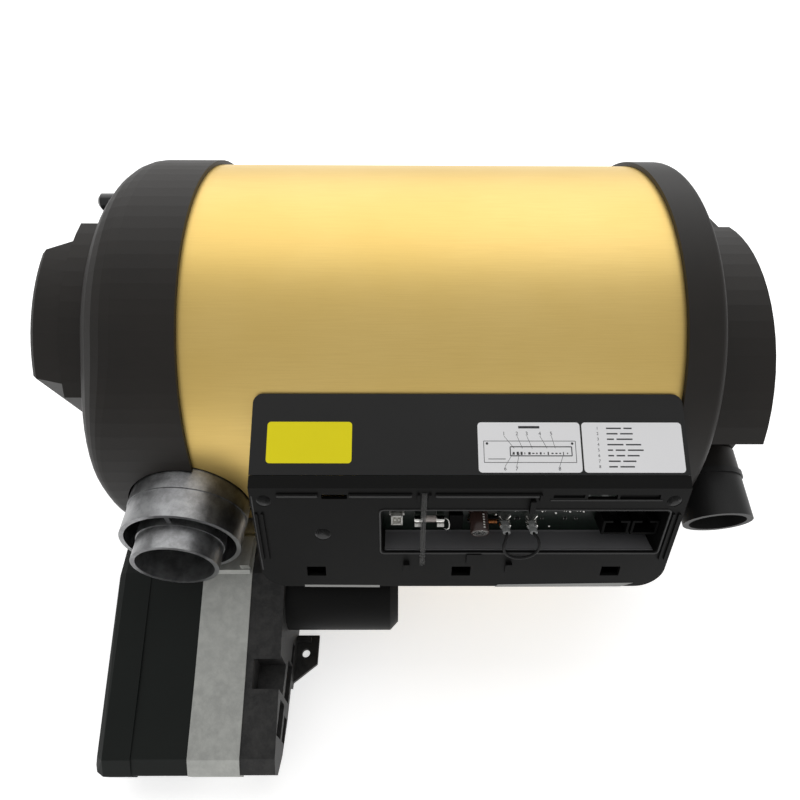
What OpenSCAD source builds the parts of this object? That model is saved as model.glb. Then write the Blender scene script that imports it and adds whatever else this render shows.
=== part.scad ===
// Combi heater: a gas-and-air drum with a water tank, warm-air outlets, a burner unit and a control box.
// +X runs along the drum to the warm-air end, -Y is the front and +Z is up. Millimetres.

/* [Drum] */
// Outside diameter of the jacket
jacket_d = 294; // [280:1:310]
// Length of the jacket that shows between the covers
jacket_len = 315.5; // [300:1:330]
// Sheet thickness of the jacket
jacket_t = 1.5; // [1:0.1:2.5]
// Left end of the visible jacket along X
jacket_x0 = -136; // [-140:1:-130]
// Space between the jacket and the floor
floor_room = 6.5; // [6:0.5:12]
// Place of the drum axis from front to back
axis_y = 75; // [60:1:90]
// Depth that the jacket goes under each cover
lip_depth = 10; // [8:1:12]
// Wall of the moulded covers
cover_t = 3; // [2:0.5:4]
// Length of the left cover past the rim
left_cover_len = 68; // [64:1:72]
// Length of the right cover past the rim
right_cover_len = 26.2; // [22:0.1:32]
// Radius of the left cover's shoulder
shoulder_r = 29; // [20:1:34]
// Radius of the shoulder at the lower front
chin_r = 9; // [6:1:14]
// Radius of the right cover's edge
right_edge_r = 6; // [3:1:9]

/* [Inside the drum] */
// Wall of the foam insulation
foam_t = 12; // [8:1:16]
// Wall of the stainless tank
tank_t = 1.2; // [0.8:0.1:2]
// Space for water between the tank walls
water_gap = 24; // [18:1:30]
// Left end of the tank along X
tank_x0 = -74; // [-80:1:-66]
// Right end of the tank along X
tank_x1 = 160; // [150:1:166]
// Outside radius of the heat exchanger's core
core_r = 52; // [46:1:58]
// Wall of the heat exchanger's core
core_t = 5; // [4:0.5:7]
// Fins round the heat exchanger
fin_count = 28; // [16:2:32]
// Thickness of one fin
fin_t = 2.5; // [2:0.1:3.5]
// Radius of the combustion tube
flame_r = 34; // [28:1:38]

/* [Air intake and fan] */
// Radius of the hood round the fan
hood_r = 80; // [74:1:86]
// Radius of the hood's lobe
lobe_r = 127; // [118:1:128]
// Lower end of the lobe, degrees above the front
lobe_low = 29.5; // [25:0.5:35]
// Upper end of the lobe, degrees above the front
lobe_high = 87; // [80:0.5:90]
// Height of the raised pad under the hood
pad_h = 5; // [4:0.5:7]
// Width of the hood's flange along X
hood_flange_h = 10; // [8:0.5:14]
// Depth of the hood past its flange
hood_h = 22.5; // [18:0.5:26]
// Wall of the hood
hood_t = 2.5; // [2:0.1:3.5]
// Radius of the air intake
intake_r = 58; // [50:1:60]
// Dome of the intake grille
grille_dome = 13.2; // [8:0.2:14]
// Rings of the intake grille
grille_rings = 4; // [3:1:5]
// Radius of the circulation fan
fan_r = 54; // [46:1:56]
// Depth of the circulation fan
fan_h = 24; // [18:1:26]
// Blades of the circulation fan
fan_blades = 24; // [16:2:30]
// Radius of the fan motor
motor_r = 32; // [26:1:36]
// Length of the fan motor
motor_len = 46; // [36:1:54]
// Radius of the motor shafts
shaft_r = 4; // [3:0.5:5]

/* [Warm air end] */
// Radius of the warm-air manifold at its top
volute_r = 112; // [106:1:114]
// Growth of that radius to the front end
volute_grow = 28.4; // [20:0.1:32]
// End of the manifold along X at its edge
manifold_h = 35.5; // [34:0.5:38]
// Dome of the manifold's end
manifold_dome = 13.5; // [8:0.5:13.5]
// Wall of the manifold
manifold_t = 2.5; // [2:0.1:3.5]
// Outside radius of a warm-air outlet
outlet_r = 23; // [21:0.5:23]
// Wall of a warm-air outlet
outlet_t = 2; // [1.5:0.1:3]
// Free length of an outlet for its hose
outlet_len = 30; // [26:1:36]
// Height of the bead round an outlet
bead_h = 1.2; // [0.8:0.1:1.3]

/* [Flue] */
// Place of the flue along X
flue_x = -145.8; // [-148:0.2:-144]
// Height of the flue against the drum axis
flue_z = -10.5; // [-14:0.5:-6]
// Outside radius of the air tube
flue_outer_r = 40; // [37:0.5:41]
// Outside radius of the exhaust tube
flue_inner_r = 28.5; // [26:0.5:30]
// Wall of the cast tubes
flue_t = 3; // [2.5:0.1:4]
// Distance of the air tube's mouth in front of the drum axis
flue_mouth = 178.7; // [172:0.1:182]
// Length that the exhaust tube stands out of the air tube
exhaust_out = 15.8; // [15.5:0.1:20]
// Length of the air tube's spigot
air_spigot = 20; // [15:1:30]
// Length of the exhaust tube's spigot
exhaust_spigot = 15; // [10:1:15]
// Height of the step behind a spigot
spigot_step = 0.8; // [0.5:0.1:1.2]

/* [Burner unit] */
// Front reach of the burner unit from the drum axis
burner_reach = 300; // [290:1:305]
// Left end of the burner unit along X
burner_x0 = -206; // [-208:0.5:-202]
// Width of the outer cover ring
ring_w = 26; // [20:1:30]
// Width of the blower housing
blower_w = 38.5; // [34:0.5:42]
// Width of the burner casting
casting_w = 35.5; // [30:0.5:40]
// Width of the end casting
end_w = 24; // [18:1:28]
// Wall of the burner housings
burner_t = 4; // [3:0.5:5]
// Radius of the blower wheel
wheel_r = 30; // [26:0.5:31]
// Blades of the blower wheel
wheel_blades = 14; // [8:1:18]
// Radius of the blower motor
blower_motor_r = 29; // [24:1:30]
// Length of the blower motor
blower_motor_len = 84; // [70:1:90]
// Distance of the blower's axis in front of the drum axis
blower_out = 178; // [176:0.5:182]
// Height of the blower's axis under the drum axis
blower_down = 96; // [95:0.5:99]
// Space between the burner unit and the floor
burner_lift = 10.5; // [8:0.5:14]

/* [Control box] */
// Left end of the control box along X
box_x0 = -88.5; // [-92:0.5:-84]
// Length of the control box
box_len = 266.6; // [250:0.2:270]
// Distance of the box's front edge from the jacket
box_stand = 36.6; // [34:0.1:40]
// Elevation of the box's front edge over the front of the drum
box_angle = 17.8; // [16:0.1:20]
// Slope of the label face
label_slope = 27.2; // [24:0.2:30]
// Width of the label face
label_w = 57.8; // [54:0.2:60]
// Slope of the connection face
plate_slope = 71.8; // [68:0.2:76]
// Height of the connection face
plate_h = 86.6; // [80:0.2:90]
// Wall of the box
box_t = 2.5; // [2:0.1:3]
// Height of the seam over the front edge
seam_u = 7.7; // [6:0.1:10]
// Corner radius of the connection face
corner_r = 17; // [12:1:20]
// Corner radius of the label face
lid_corner_r = 6; // [4:0.5:10]
// Left end of the window along X
window_x0 = -9; // [-12:1:-4]
// Length of the window
window_len = 178; // [160:1:182]
// Top of the window under the front edge
window_top = 18; // [15:0.5:20]
// Height of the window
window_h = 36; // [30:0.5:38]
// Depth of the circuit board behind the connection face
board_depth = 19.5; // [18:0.5:24]
// Thickness of the circuit board
board_t = 1.6; // [1:0.1:2]
// Radius of the screw holes in the box's corners
box_screw_r = 4.5; // [3.5:0.1:5]

/* [Water and feet] */
// Radius of a water nipple
nipple_r = 4; // [3:0.5:5]
// Length that a nipple stands out of the cover
nipple_out = 15; // [14:1:20]
// Radius of a nipple's cap
cap_r = 6.3; // [5.5:0.1:7]
// Length of a nipple's cap
cap_len = 14; // [12:0.5:14]
// Travel that takes a cap off
cap_travel = 24; // [20:1:30]
// Radius of the foot screw holes
foot_hole_r = 3.25; // [2.5:0.05:4]
// Thickness of the rear feet
foot_t = 3; // [2:0.5:4]
// Width of a rear foot
foot_w = 30; // [24:1:36]

/* [Fits] */
// Space between pieces that sit on one another
seat_gap = 0.3; // [0.2:0.05:0.4]
// Radial space of a shaft in its bore
running_gap = 0.05; // [0.03:0.01:0.09]

/* [Hidden] */
big_fn = 128;
small_fn = 32;
jacket_r = jacket_d / 2;
// Outlines below are drawn round a drum of 147 mm radius and follow the real one by this factor
drum_part = jacket_r / 147;
axis_z = jacket_r + floor_room;
head_pad_y = 75 * drum_part;
blower_y = blower_out * drum_part;
blower_z = -blower_down * drum_part;
burner_drop = axis_z - burner_lift;
edge_y = (jacket_r + box_stand) * cos(box_angle);
edge_z = (jacket_r + box_stand) * sin(box_angle);
lobe_reach = lobe_r * drum_part;
jacket_x1 = jacket_x0 + jacket_len;
cover_in_r = jacket_r + seat_gap;
cover_r = cover_in_r + cover_t;
left_end = jacket_x0 - left_cover_len;
right_end = jacket_x1 + right_cover_len;
pad_x = left_end - pad_h;
bracket_gap = 0.9;
hood_flange_x = pad_x - hood_flange_h;
hood_x = hood_flange_x - hood_h;
grille_x = hood_x - grille_dome;
foam_r = jacket_r - jacket_t - seat_gap;
tank_r = foam_r - foam_t - seat_gap;
tank_in_r = tank_r - 2 * tank_t - water_gap;
fin_r = tank_in_r - seat_gap;
manifold_edge_x = right_end + manifold_h;
manifold_x = manifold_edge_x + manifold_dome;
bead_w = 4;
outlet_x = manifold_x - outlet_r - bead_h;
blower_x0 = burner_x0 + ring_w;
casting_x0 = blower_x0 + blower_w;
end_x0 = casting_x0 + casting_w;
motor_x0 = end_x0 + end_w;
head_r = core_r + 8;
head_x0 = tank_x0 - 76;
wheel_room = 4;
wheel_h = 25;
box_x1 = box_x0 + box_len;
window_x1 = window_x0 + window_len;
// Pockets of the end casting: distance in front of the blower's axis and under it, width and height
casting_pockets = [[98, 24, 22, 18], [98, 42, 16, 12], [72, 12, 20, 26], [72, 40, 26, 20], [44, 42, 14, 10]];
glow_y = burner_reach - 65;
glow_r = 5;
glow_h = 24;
fuel_y = burner_reach - 38;
fuel_r = 3;
fuel_h = 26;
nipple_ring = 125 * drum_part;
nipple_root = 1;
// Places on the connection face: along X, and down from the front edge
slots = [-58.5, 37, 136];
slot_w = 12.5;
slot_top = 67.5;
slot_h = 8.7;
screw_t = 10;
stud_x = -46;
stud_t = 38;
stud_r = 5;
window_foot = window_top + window_h;
tube_r = box_screw_r + 2;
button_t = 30;
button_h = 9;
button_w = 7;
button_z = -6;
button_out = 2.6;
button_travel = 1.6;
part_t = 40;
fuse_x = 11.8;
fuse_len = 20;
fuse_r = 2.6;
fuse_out = 6.5;
tab_places = [71.15, 88.65];
tab_h = 15.5;
nipple_free = 12.5;
nipple_angles = [77, 38];

// Moves the origin to the drum axis
module at_drum() { translate([0, axis_y, axis_z]) children(); }
// A revolve about the drum axis of a profile of [radius, x] points
module revolve_x(fn = big_fn) { rotate([0, 90, 0]) rotate_extrude($fn = fn) children(); }
// A cylinder along X from x0 to x1
module rod_x(r, x0, x1, fn = big_fn) { translate([x0, 0, 0]) rotate([0, 90, 0]) cylinder(r = r, h = x1 - x0, $fn = fn); }
// A ring along X
module ring_x(r1, r0, x0, x1, fn = big_fn) {
  difference() {
    rod_x(r1, x0, x1, fn);
    rod_x(r0, x0 - 1, x1 + 1, fn);
  }
}
// An outline in Y and Z, extruded from x0 to x1
module prism_x(x0, x1) { translate([x0, 0, 0]) rotate([90, 0, 90]) linear_extrude(x1 - x0) children(); }
// A place in front of the axis at an elevation
function front_point(r, a) = [-r * cos(a), r * sin(a)];
// The place of a water pipe round the drum, at an angle over the back
module at_nipple(a) { translate([0, nipple_ring * cos(a), nipple_ring * sin(a)]) children(); }
// A box between two corners
module block(a, b) { translate(a) cube(b - a); }

// Sheet jacket in a brushed gold finish
module gold_jacket() {
  color("goldenrod") at_drum() difference() {
    ring_x(jacket_r, jacket_r - jacket_t, jacket_x0 - lip_depth, jacket_x1 + lip_depth);
    // Window for the flue casting and the burner's neck
    translate([flue_x, 0, flue_z]) rotate([90, 0, 0]) cylinder(r = flue_outer_r + 2, h = 200, $fn = 64);
    neck(burner_t + 2);
  }
}

// The neck that joins the burner to the heat exchanger, as a solid enlarged by a margin
module neck(margin) {
  far = -186 * drum_part;
  prism_x(casting_x0 + 5 - margin, end_x0 - 5 + margin)
    polygon([[far, -64 * drum_part + margin], [-head_r, 4 - head_r + margin], [-24, -head_r - 0.5], [10, -head_r - 0.5],
      [10, -head_r - 14 - margin], [-100 * drum_part, -100 * drum_part - margin], [far, -105 * drum_part - margin]]);
}

// Foam insulation between jacket and tank
module insulation_shell() {
  color("dimgray") at_drum() ring_x(foam_r, foam_r - foam_t, tank_x0 - 4, tank_x1 + 8);
}

// Stainless tank with water between two walls
module water_tank() {
  color("silver") at_drum() difference() {
    revolve_x() polygon([[tank_in_r, tank_x0], [tank_r - 3, tank_x0], [tank_r, tank_x0 + 3], [tank_r, tank_x1 - 3],
      [tank_r - 3, tank_x1], [tank_in_r, tank_x1]]);
    revolve_x() polygon([[tank_in_r + tank_t, tank_x0 + tank_t], [tank_r - 3, tank_x0 + tank_t],
      [tank_r - tank_t, tank_x0 + 3], [tank_r - tank_t, tank_x1 - 3], [tank_r - 3, tank_x1 - tank_t],
      [tank_in_r + tank_t, tank_x1 - tank_t]]);
    // Ports for the two water pipes
    for (a = nipple_angles) at_nipple(a) rod_x(nipple_r - 1.2, tank_x0 - 1, tank_x0 + 4, small_fn);
  }
}

// Finned casting that takes the burner's heat to the water and the air
module heat_exchanger() {
  color("gray") at_drum() difference() {
    union() {
      rod_x(core_r, tank_x0, tank_x1 - 10);
      for (i = [0:fin_count - 1]) rotate([i * 360 / fin_count, 0, 0])
        block([tank_x0 + 4, -fin_t / 2, core_r - 2], [tank_x1 - 14, fin_t / 2, fin_r]);
      rod_x(head_r, head_x0, tank_x0 + 1);
      block([head_x0, -head_pad_y, flue_z - 34], [tank_x0 - 6, 0, flue_z + 34]);
    }
    rod_x(core_r - core_t, head_x0 + core_t, tank_x1 - 10 - core_t);
  }
}

// Perforated steel tube round the flame, held in the head of the heat exchanger
module combustion_tube() {
  color("slategray") at_drum() difference() {
    union() {
      ring_x(flame_r, flame_r - 1.5, head_x0 + core_t, tank_x1 - 60);
      ring_x(core_r - core_t - seat_gap, flame_r - 1, tank_x0 - 10, tank_x0 - 7);
    }
    for (k = [0:3]) for (i = [0:5]) rotate([i * 60 + k * 30, 0, 0]) translate([tank_x1 - 120 + k * 14, 0, 0])
      cylinder(r = 3, h = flame_r + 2, $fn = 16);
  }
}

// Points of a cover's profile: a rim, a rounded shoulder and a flat end, as [radius, distance from the rim]
function cover_profile(r, len, edge) = concat([[0, 0], [r, 0]],
  [for (i = [0:8]) [r - edge + edge * cos(i * 11.25), len - edge + edge * sin(i * 11.25)]], [[0, len]]);

// A cover's outer form, turned so that its rim faces the jacket
module cover_form(r, len, edge) { revolve_x() polygon(cover_profile(r, len, edge)); }

// The outline of the hood's lobe and of the fan's circle
module hood_outline(r, a0, a1, round_r) {
  hull() {
    circle(r = round_r, $fn = 64);
    polygon([for (i = [0:12]) front_point(r, a0 + (a1 - a0) * i / 12)]);
  }
}

// Radius of the left cover's shoulder at an elevation: full round at the top and back, tight at the lower front
function ease(t) = let (u = max(0, min(1, t))) u * u * (3 - 2 * u);
function shoulder_at(a) = chin_r + (shoulder_r - chin_r) * (ease((a - 6) / 40) + ease((-100 - a) / 45));

// A point of the left cover's skin: step j along its profile at elevation a, drawn in by a wall
function left_point(a, j, wall) =
  let (edge = max(2, shoulder_at(a) - wall), r = cover_r - wall, len = left_cover_len - wall, k = max(0, j - 1),
    turn = min(90, k * 90 / shoulder_steps), rad = j == 0 ? r : r - edge + edge * cos(turn),
    x = j == 0 ? -1 : len - edge + edge * sin(turn), p = front_point(rad, a)) [jacket_x0 - x, p[0], p[1]];
shoulder_steps = 7;
skin_turns = 96;

// The left cover's form as one closed skin
module left_form(wall) {
  m = shoulder_steps + 2;
  points = [for (i = [0:skin_turns - 1]) for (j = [0:m - 1]) left_point(-180 + i * 360 / skin_turns, j, wall)];
  function id(i, j) = (i % skin_turns) * m + j;
  polyhedron(points, concat([[for (i = [0:skin_turns - 1]) id(i, 0)]], [[for (i = [skin_turns - 1:-1:0]) id(i, m - 1)]],
    [for (i = [0:skin_turns - 1]) for (j = [0:m - 2]) [id(i, j), id(i, j + 1), id(i + 1, j + 1)]],
    [for (i = [0:skin_turns - 1]) for (j = [0:m - 2]) [id(i, j), id(i + 1, j + 1), id(i + 1, j)]]));
}

// Left cover: a deep moulded cap that carries the fan hood
module left_cover() {
  color("dimgray") at_drum() difference() {
    union() {
      left_form(0);
      prism_x(pad_x, left_end + shoulder_r) hood_outline(lobe_reach, lobe_low, lobe_high, hood_r);
    }
    left_form(cover_t);
    rod_x(fan_r + 12, pad_x - 1, left_end + cover_t + 1);
    translate([flue_x, 0, flue_z]) rotate([90, 0, 0]) cylinder(r = flue_outer_r + 2, h = 200, $fn = 64);
    neck(burner_t + 2);
    for (a = nipple_angles) at_nipple(a) rod_x(nipple_r + nipple_root + seat_gap, left_end - 1, tank_x0, small_fn);
  }
}

// Hood over the fan, with a lobe up to the front
module fan_hood() {
  low = lobe_low + 4;
  high = lobe_high - 7;
  color("dimgray") at_drum() difference() {
    union() {
      prism_x(hood_flange_x, pad_x) hood_outline(lobe_reach, lobe_low, lobe_high, hood_r);
      hull() {
        prism_x(hood_flange_x - 0.5, hood_flange_x) hood_outline(lobe_reach - 2, low, high, hood_r - 2);
        prism_x(hood_x + 4, hood_x + 4.5) hood_outline(lobe_reach - 3.5, low + 1.5, high - 3, hood_r - 3.5);
        prism_x(hood_x + 1.2, hood_x + 1.6) hood_outline(lobe_reach - 5.5, low + 2.2, high - 4, hood_r - 5.5);
        prism_x(hood_x, hood_x + 0.4) hood_outline(lobe_reach - 9, low + 3.5, high - 5.5, hood_r - 9);
      }
    }
    prism_x(hood_x + hood_t, pad_x + 1) hood_outline(lobe_reach - 10, low + 4, high - 6, hood_r - 8);
    rod_x(intake_r + seat_gap, hood_x - 1, hood_x + hood_t + 1);
  }
}

// Points of the grille's dome, as [radius, x]
function dome_points(r, top, base) = [for (i = [0:8]) [r * i / 8, base - (base - top) * (1 - pow(i / 8, 2))]];

// Domed intake grille of rings and spokes
module intake_grille() {
  bar = 2.4;
  color("black") at_drum() {
    intersection() {
      revolve_x() polygon(concat(dome_points(intake_r, grille_x, hood_x), [[intake_r, hood_x + 2.5]],
        [for (i = [8:-1:0]) dome_points(intake_r, grille_x + 2.5, hood_x + 2.5)[i]]));
      union() {
        for (k = [1:grille_rings]) ring_x(intake_r * k / (grille_rings + 1) + bar / 2,
          intake_r * k / (grille_rings + 1) - bar / 2, grille_x - 1, hood_x + 3, 64);
        for (i = [0:5]) rotate([i * 60, 0, 0]) block([grille_x - 1, -bar / 2, 0], [hood_x + 3, bar / 2, intake_r]);
      }
    }
    ring_x(intake_r + 4, intake_r - 3, hood_x - 2, hood_x);
    ring_x(intake_r, intake_r - 3, hood_x, hood_x + hood_t);
  }
}

// Bell mouth between the grille and the fan
module inlet_ring() {
  color("black") at_drum() revolve_x(64) polygon([[intake_r + 8, hood_x + hood_t], [intake_r + 8, hood_x + hood_t + 2],
    [fan_r - 6, hood_x + hood_t + 2], [fan_r - 12, hood_x + hood_t + 7], [fan_r - 14, hood_x + hood_t + 7],
    [fan_r - 14, hood_x + hood_t + 5], [fan_r - 8, hood_x + hood_t]]);
}

// A radial fan wheel with a hub, a back plate, curved-back blades and a front ring
module fan_wheel(r, h, blades, hub_r, bore_r, blade_t) {
  difference() {
    union() {
      rod_x(r, h - 2, h, 96);
      rod_x(hub_r, h * 0.3, h, 48);
      ring_x(r, r * 0.82, 0, 2, 96);
      for (i = [0:blades - 1]) rotate([i * 360 / blades, 0, 0]) translate([0, 0, r * 0.87])
        rotate([28, 0, 0]) block([1, -blade_t / 2, -r * 0.11], [h - 1, blade_t / 2, r * 0.11]);
    }
    rod_x(bore_r, h * 0.3 - 1, h + 1, 48);
  }
}

// Circulation fan wheel
module circulation_fan() {
  color("darkslategray") at_drum() translate([pad_x - fan_h, 0, 0]) fan_wheel(fan_r, fan_h - 1, fan_blades, 14, shaft_r, 1.8);
}

// Shaft of the circulation fan
module fan_shaft() {
  color("silver") at_drum() rod_x(shaft_r, pad_x - fan_h * 0.75, left_end + motor_len * 0.7, 48);
}

// Motor of the circulation fan
module fan_motor() {
  color("slategray") at_drum() difference() {
    union() {
      revolve_x(64) polygon([[0, left_end], [motor_r - 3, left_end], [motor_r, left_end + 3],
        [motor_r, left_end + motor_len - 4], [motor_r - 4, left_end + motor_len], [0, left_end + motor_len]]);
      rod_x(9, left_end - 3, left_end, 48);
    }
    rod_x(shaft_r + running_gap, left_end - 4, left_end + motor_len * 0.72, 48);
  }
}

// Three-armed bracket that holds the fan motor in the left cover
module motor_bracket() {
  x0 = left_end + cover_t + bracket_gap;
  color("gray") at_drum() {
    ring_x(fan_r + 13, fan_r + 7, x0, x0 + 4, 96);
    ring_x(motor_r + 4, motor_r + 0.1, x0, x0 + 12, 64);
    for (i = [0:2]) rotate([i * 120 + 60, 0, 0]) block([x0, -6, motor_r + 2], [x0 + 4, 6, fan_r + 9]);
  }
}

// Right cover: a shallow moulded cap, open to the manifold
module right_cover() {
  color("dimgray") at_drum() translate([jacket_x1, 0, 0]) difference() {
    cover_form(cover_r, right_cover_len, right_edge_r);
    cover_form(cover_r - cover_t, right_cover_len - cover_t, right_edge_r - cover_t + 0.5);
    rod_x((volute_r - 28) * drum_part, -1, right_cover_len + 1);
  }
}

// The manifold's outline in Y and Z, drawn in by a wall
module manifold_outline(wall) {
  k = drum_part;
  function volute(a) = (volute_r + volute_grow * (98 - a) / 80.2) * k - wall;
  polygon(concat([for (i = [0:16]) front_point(volute(98 - i * 80.2 / 16), 98 - i * 80.2 / 16 + wall * 0.3)],
    [[-112 * k + wall, 18 * k], [-112 * k + wall, -52 * k], [-70 * k, -104 * k + wall], [30 * k, -104 * k + wall],
      [88 * k - wall, -84 * k], [88 * k - wall, 44 * k], [56 * k - wall, 48 * k], [56 * k - wall, 98 * k - wall],
      [15 * k, 104 * k - wall]]));
}

// The room that the manifold's domed end takes
module manifold_dome_form(wall) {
  revolve_x() polygon(concat([[0, right_end - 1]], [[cover_r * 1.05, right_end - 1]],
    [for (i = [0:8]) [cover_r * 1.05 * (8 - i) / 8, manifold_edge_x - wall + manifold_dome * (1 - pow((8 - i) / 8, 2.4))]]));
}

// Each outlet's mouth in y and z, the place of the wall behind it in y and its tilt
outlets = [for (o = [[-159, -18, -109, -12], [97, 82, 54, 0], [140, 10, 86, 0], [140, -52, 86, 0]])
  [o[0] * drum_part, o[1] * drum_part, o[2] * drum_part, o[3]]];

// The length of an outlet from its mouth to the manifold's wall
function outlet_full(o) = abs(o[0] - o[2]);

// Moves the origin to an outlet's mouth, with Z along its axis
module at_outlet(o) {
  translate([outlet_x, o[0], o[1]]) rotate([o[0] > 0 ? -90 : 90 - o[3], 0, 0]) children();
}

// Warm-air manifold on the right cover, with a short neck for each outlet
module air_manifold() {
  color("dimgray") at_drum() difference() {
    union() {
      intersection() {
        prism_x(right_end, manifold_x + 1) manifold_outline(0);
        manifold_dome_form(0);
      }
      for (o = outlets) at_outlet(o) translate([0, 0, -outlet_full(o)])
        cylinder(r = outlet_r, h = outlet_full(o) - outlet_len - bead_w, $fn = 64);
    }
    intersection() {
      prism_x(right_end - 1, manifold_x + 1) manifold_outline(manifold_t);
      manifold_dome_form(manifold_t);
    }
    for (o = outlets) at_outlet(o) translate([0, 0, -outlet_full(o) - 8])
      cylinder(r = outlet_r - outlet_t, h = outlet_full(o) + 10, $fn = 64);
  }
}

// The four outlet pipes: a free end for the hose, a bead and a spigot in the manifold's neck
module warm_air_outlets() {
  spigot_r = outlet_r - outlet_t - seat_gap / 2;
  color("black") at_drum() for (o = outlets) at_outlet(o) difference() {
    union() {
      translate([0, 0, -outlet_len]) cylinder(r = outlet_r, h = outlet_len, $fn = 64);
      translate([0, 0, -outlet_len - bead_w]) cylinder(r = outlet_r + bead_h, h = bead_w, $fn = 64);
      translate([0, 0, -outlet_len - bead_w - 4]) cylinder(r = spigot_r, h = 5, $fn = 64);
    }
    translate([0, 0, -outlet_len - bead_w - 5]) cylinder(r = spigot_r - outlet_t, h = outlet_len + bead_w + 6, $fn = 64);
  }
}

// Moves the origin to the flue's axis, with Z to the front
module at_flue(y) { translate([flue_x, -y, flue_z]) rotate([90, 0, 0]) children(); }

// Cast concentric flue: an air tube and an exhaust tube with a spigot each, a ribbed web between them and a base
module flue_connection() {
  base_y = head_pad_y + seat_gap;
  mouth = flue_mouth * drum_part;
  color("silver") at_drum() difference() {
    union() {
      difference() {
        union() {
          at_flue(base_y) cylinder(r = flue_outer_r, h = mouth - base_y, $fn = 96);
          at_flue(base_y) cylinder(r = flue_outer_r + spigot_step, h = mouth - base_y - air_spigot, $fn = 96);
        }
        at_flue(base_y + 6) cylinder(r = flue_outer_r - flue_t, h = mouth, $fn = 96);
      }
      at_flue(base_y) cylinder(r = flue_inner_r, h = mouth - base_y + exhaust_out, $fn = 96);
      at_flue(base_y) cylinder(r = flue_inner_r + spigot_step, h = mouth - base_y + exhaust_out - exhaust_spigot, $fn = 96);
      // Web at the top, with a narrow rib along its front
      translate([flue_x, 0, flue_z]) block([-6, 8 - mouth, flue_inner_r - 2], [6, -base_y, flue_outer_r - 1]);
      translate([flue_x, 0, flue_z]) block([-1.5, 1 - mouth, flue_inner_r - 1], [1.5, -base_y, flue_outer_r - 1]);
    }
    at_flue(base_y - 1) cylinder(r = flue_inner_r - flue_t, h = mouth + 30, $fn = 96);
  }
}

// The burner unit's side outline in Y and Z, drawn in by a wall
module burner_outline(wall) {
  low = wall - burner_drop;
  nose = wall - burner_reach;
  over = blower_z - wall;
  near = -100 * drum_part;
  polygon([[near - wall, low], [nose + 38, low], [nose + 16, low + 5], [nose + 3, low + 15], [nose + 2, blower_z - 20],
    [nose + 10, over - 10], [-blower_y - 67, over + 9], [-blower_y - 2, over + 39], [-blower_y + 26, over + 42],
    [near - wall, blower_z - 29]]);
}

// Outer cover ring of the burner unit, with a rounded edge
module cover_ring() {
  edge = 7;
  color("black") at_drum() difference() {
    hull() {
      prism_x(burner_x0, burner_x0 + 0.5) burner_outline(edge);
      prism_x(burner_x0 + 2, burner_x0 + 2.5) burner_outline(edge * 0.4);
      prism_x(burner_x0 + edge, blower_x0) burner_outline(0);
    }
    prism_x(burner_x0 + burner_t, blower_x0 + 1) burner_outline(edge);
  }
}

// Blower housing of the burner unit, with the wheel's chamber and the duct to the front
module blower_housing() {
  duct_x = casting_x0 - burner_t;
  color("black") at_drum() difference() {
    prism_x(blower_x0, casting_x0) burner_outline(0.6);
    translate([0, -blower_y, blower_z]) rod_x(wheel_r + wheel_room, blower_x0 - 1, duct_x, 96);
    prism_x(blower_x0 - 1, duct_x) intersection() {
      burner_outline(burner_t + 1);
      translate([-burner_reach, -burner_drop]) square([burner_reach - blower_y, burner_drop]);
    }
    translate([0, -blower_y, blower_z]) rod_x(shaft_r + 1, duct_x - 1, casting_x0 + 1, 48);
  }
}

// Blower wheel of the burner unit
module blower_wheel() {
  color("silver") at_drum() translate([casting_x0 - burner_t - 2 - wheel_h, -blower_y, blower_z])
    fan_wheel(wheel_r, wheel_h, wheel_blades, 9, shaft_r, 1.6);
}

// Shaft of the burner's blower
module wheel_shaft() {
  color("silver") at_drum() translate([0, -blower_y, blower_z])
    rod_x(shaft_r, casting_x0 - burner_t - 2 - wheel_h * 0.7, motor_x0 + blower_motor_len * 0.6, 48);
}

// Aluminium casting of the burner, with a raised boss at its top and the neck to the heat exchanger
module burner_casting() {
  plug_x = casting_x0 + casting_w / 2;
  color("silver") at_drum() difference() {
    union() {
      prism_x(casting_x0, end_x0) burner_outline(0);
      neck(0);
      // Boss and rim round the ports at the top
      prism_x(casting_x0 + 6, end_x0 - 1.5) polygon([[-blower_y - 4, blower_z + 36], [-blower_y - 1, blower_z + 42],
        [-blower_y + 24, blower_z + 45], [-blower_y + 26, blower_z + 40]]);
      block([end_x0 - 8, -blower_y, blower_z + 30], [end_x0 - 1, -blower_y + 22, blower_z + 48]);
    }
    translate([0, -blower_y, blower_z]) rod_x(shaft_r + 1, casting_x0 - 1, end_x0 + 1, 48);
    flame_duct();
    // Shallow pocket in the front slope
    prism_x(casting_x0 + 7, end_x0 - 7) polygon([[-blower_y - 58, blower_z + 8], [-blower_y - 14, blower_z + 28.5],
      [-blower_y - 16, blower_z + 33], [-blower_y - 60, blower_z + 14]]);
    translate([plug_x, -glow_y, -burner_drop - 7]) cylinder(r = glow_r + seat_gap, h = glow_h + 6, $fn = 32);
    translate([plug_x, -fuel_y, -burner_drop - 8]) cylinder(r = fuel_r + seat_gap, h = fuel_h + 5, $fn = 32);
  }
}

// The way of the flame from the blower's air to the heat exchanger
module flame_duct() {
  far = -172 * drum_part;
  prism_x(casting_x0 + 10, end_x0 - 10) polygon([[far, -68 * drum_part], [-26, -head_r - 8], [-14, -50], [4, -50],
    [4, -head_r - 12], [far, -92 * drum_part]]);
}

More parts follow.
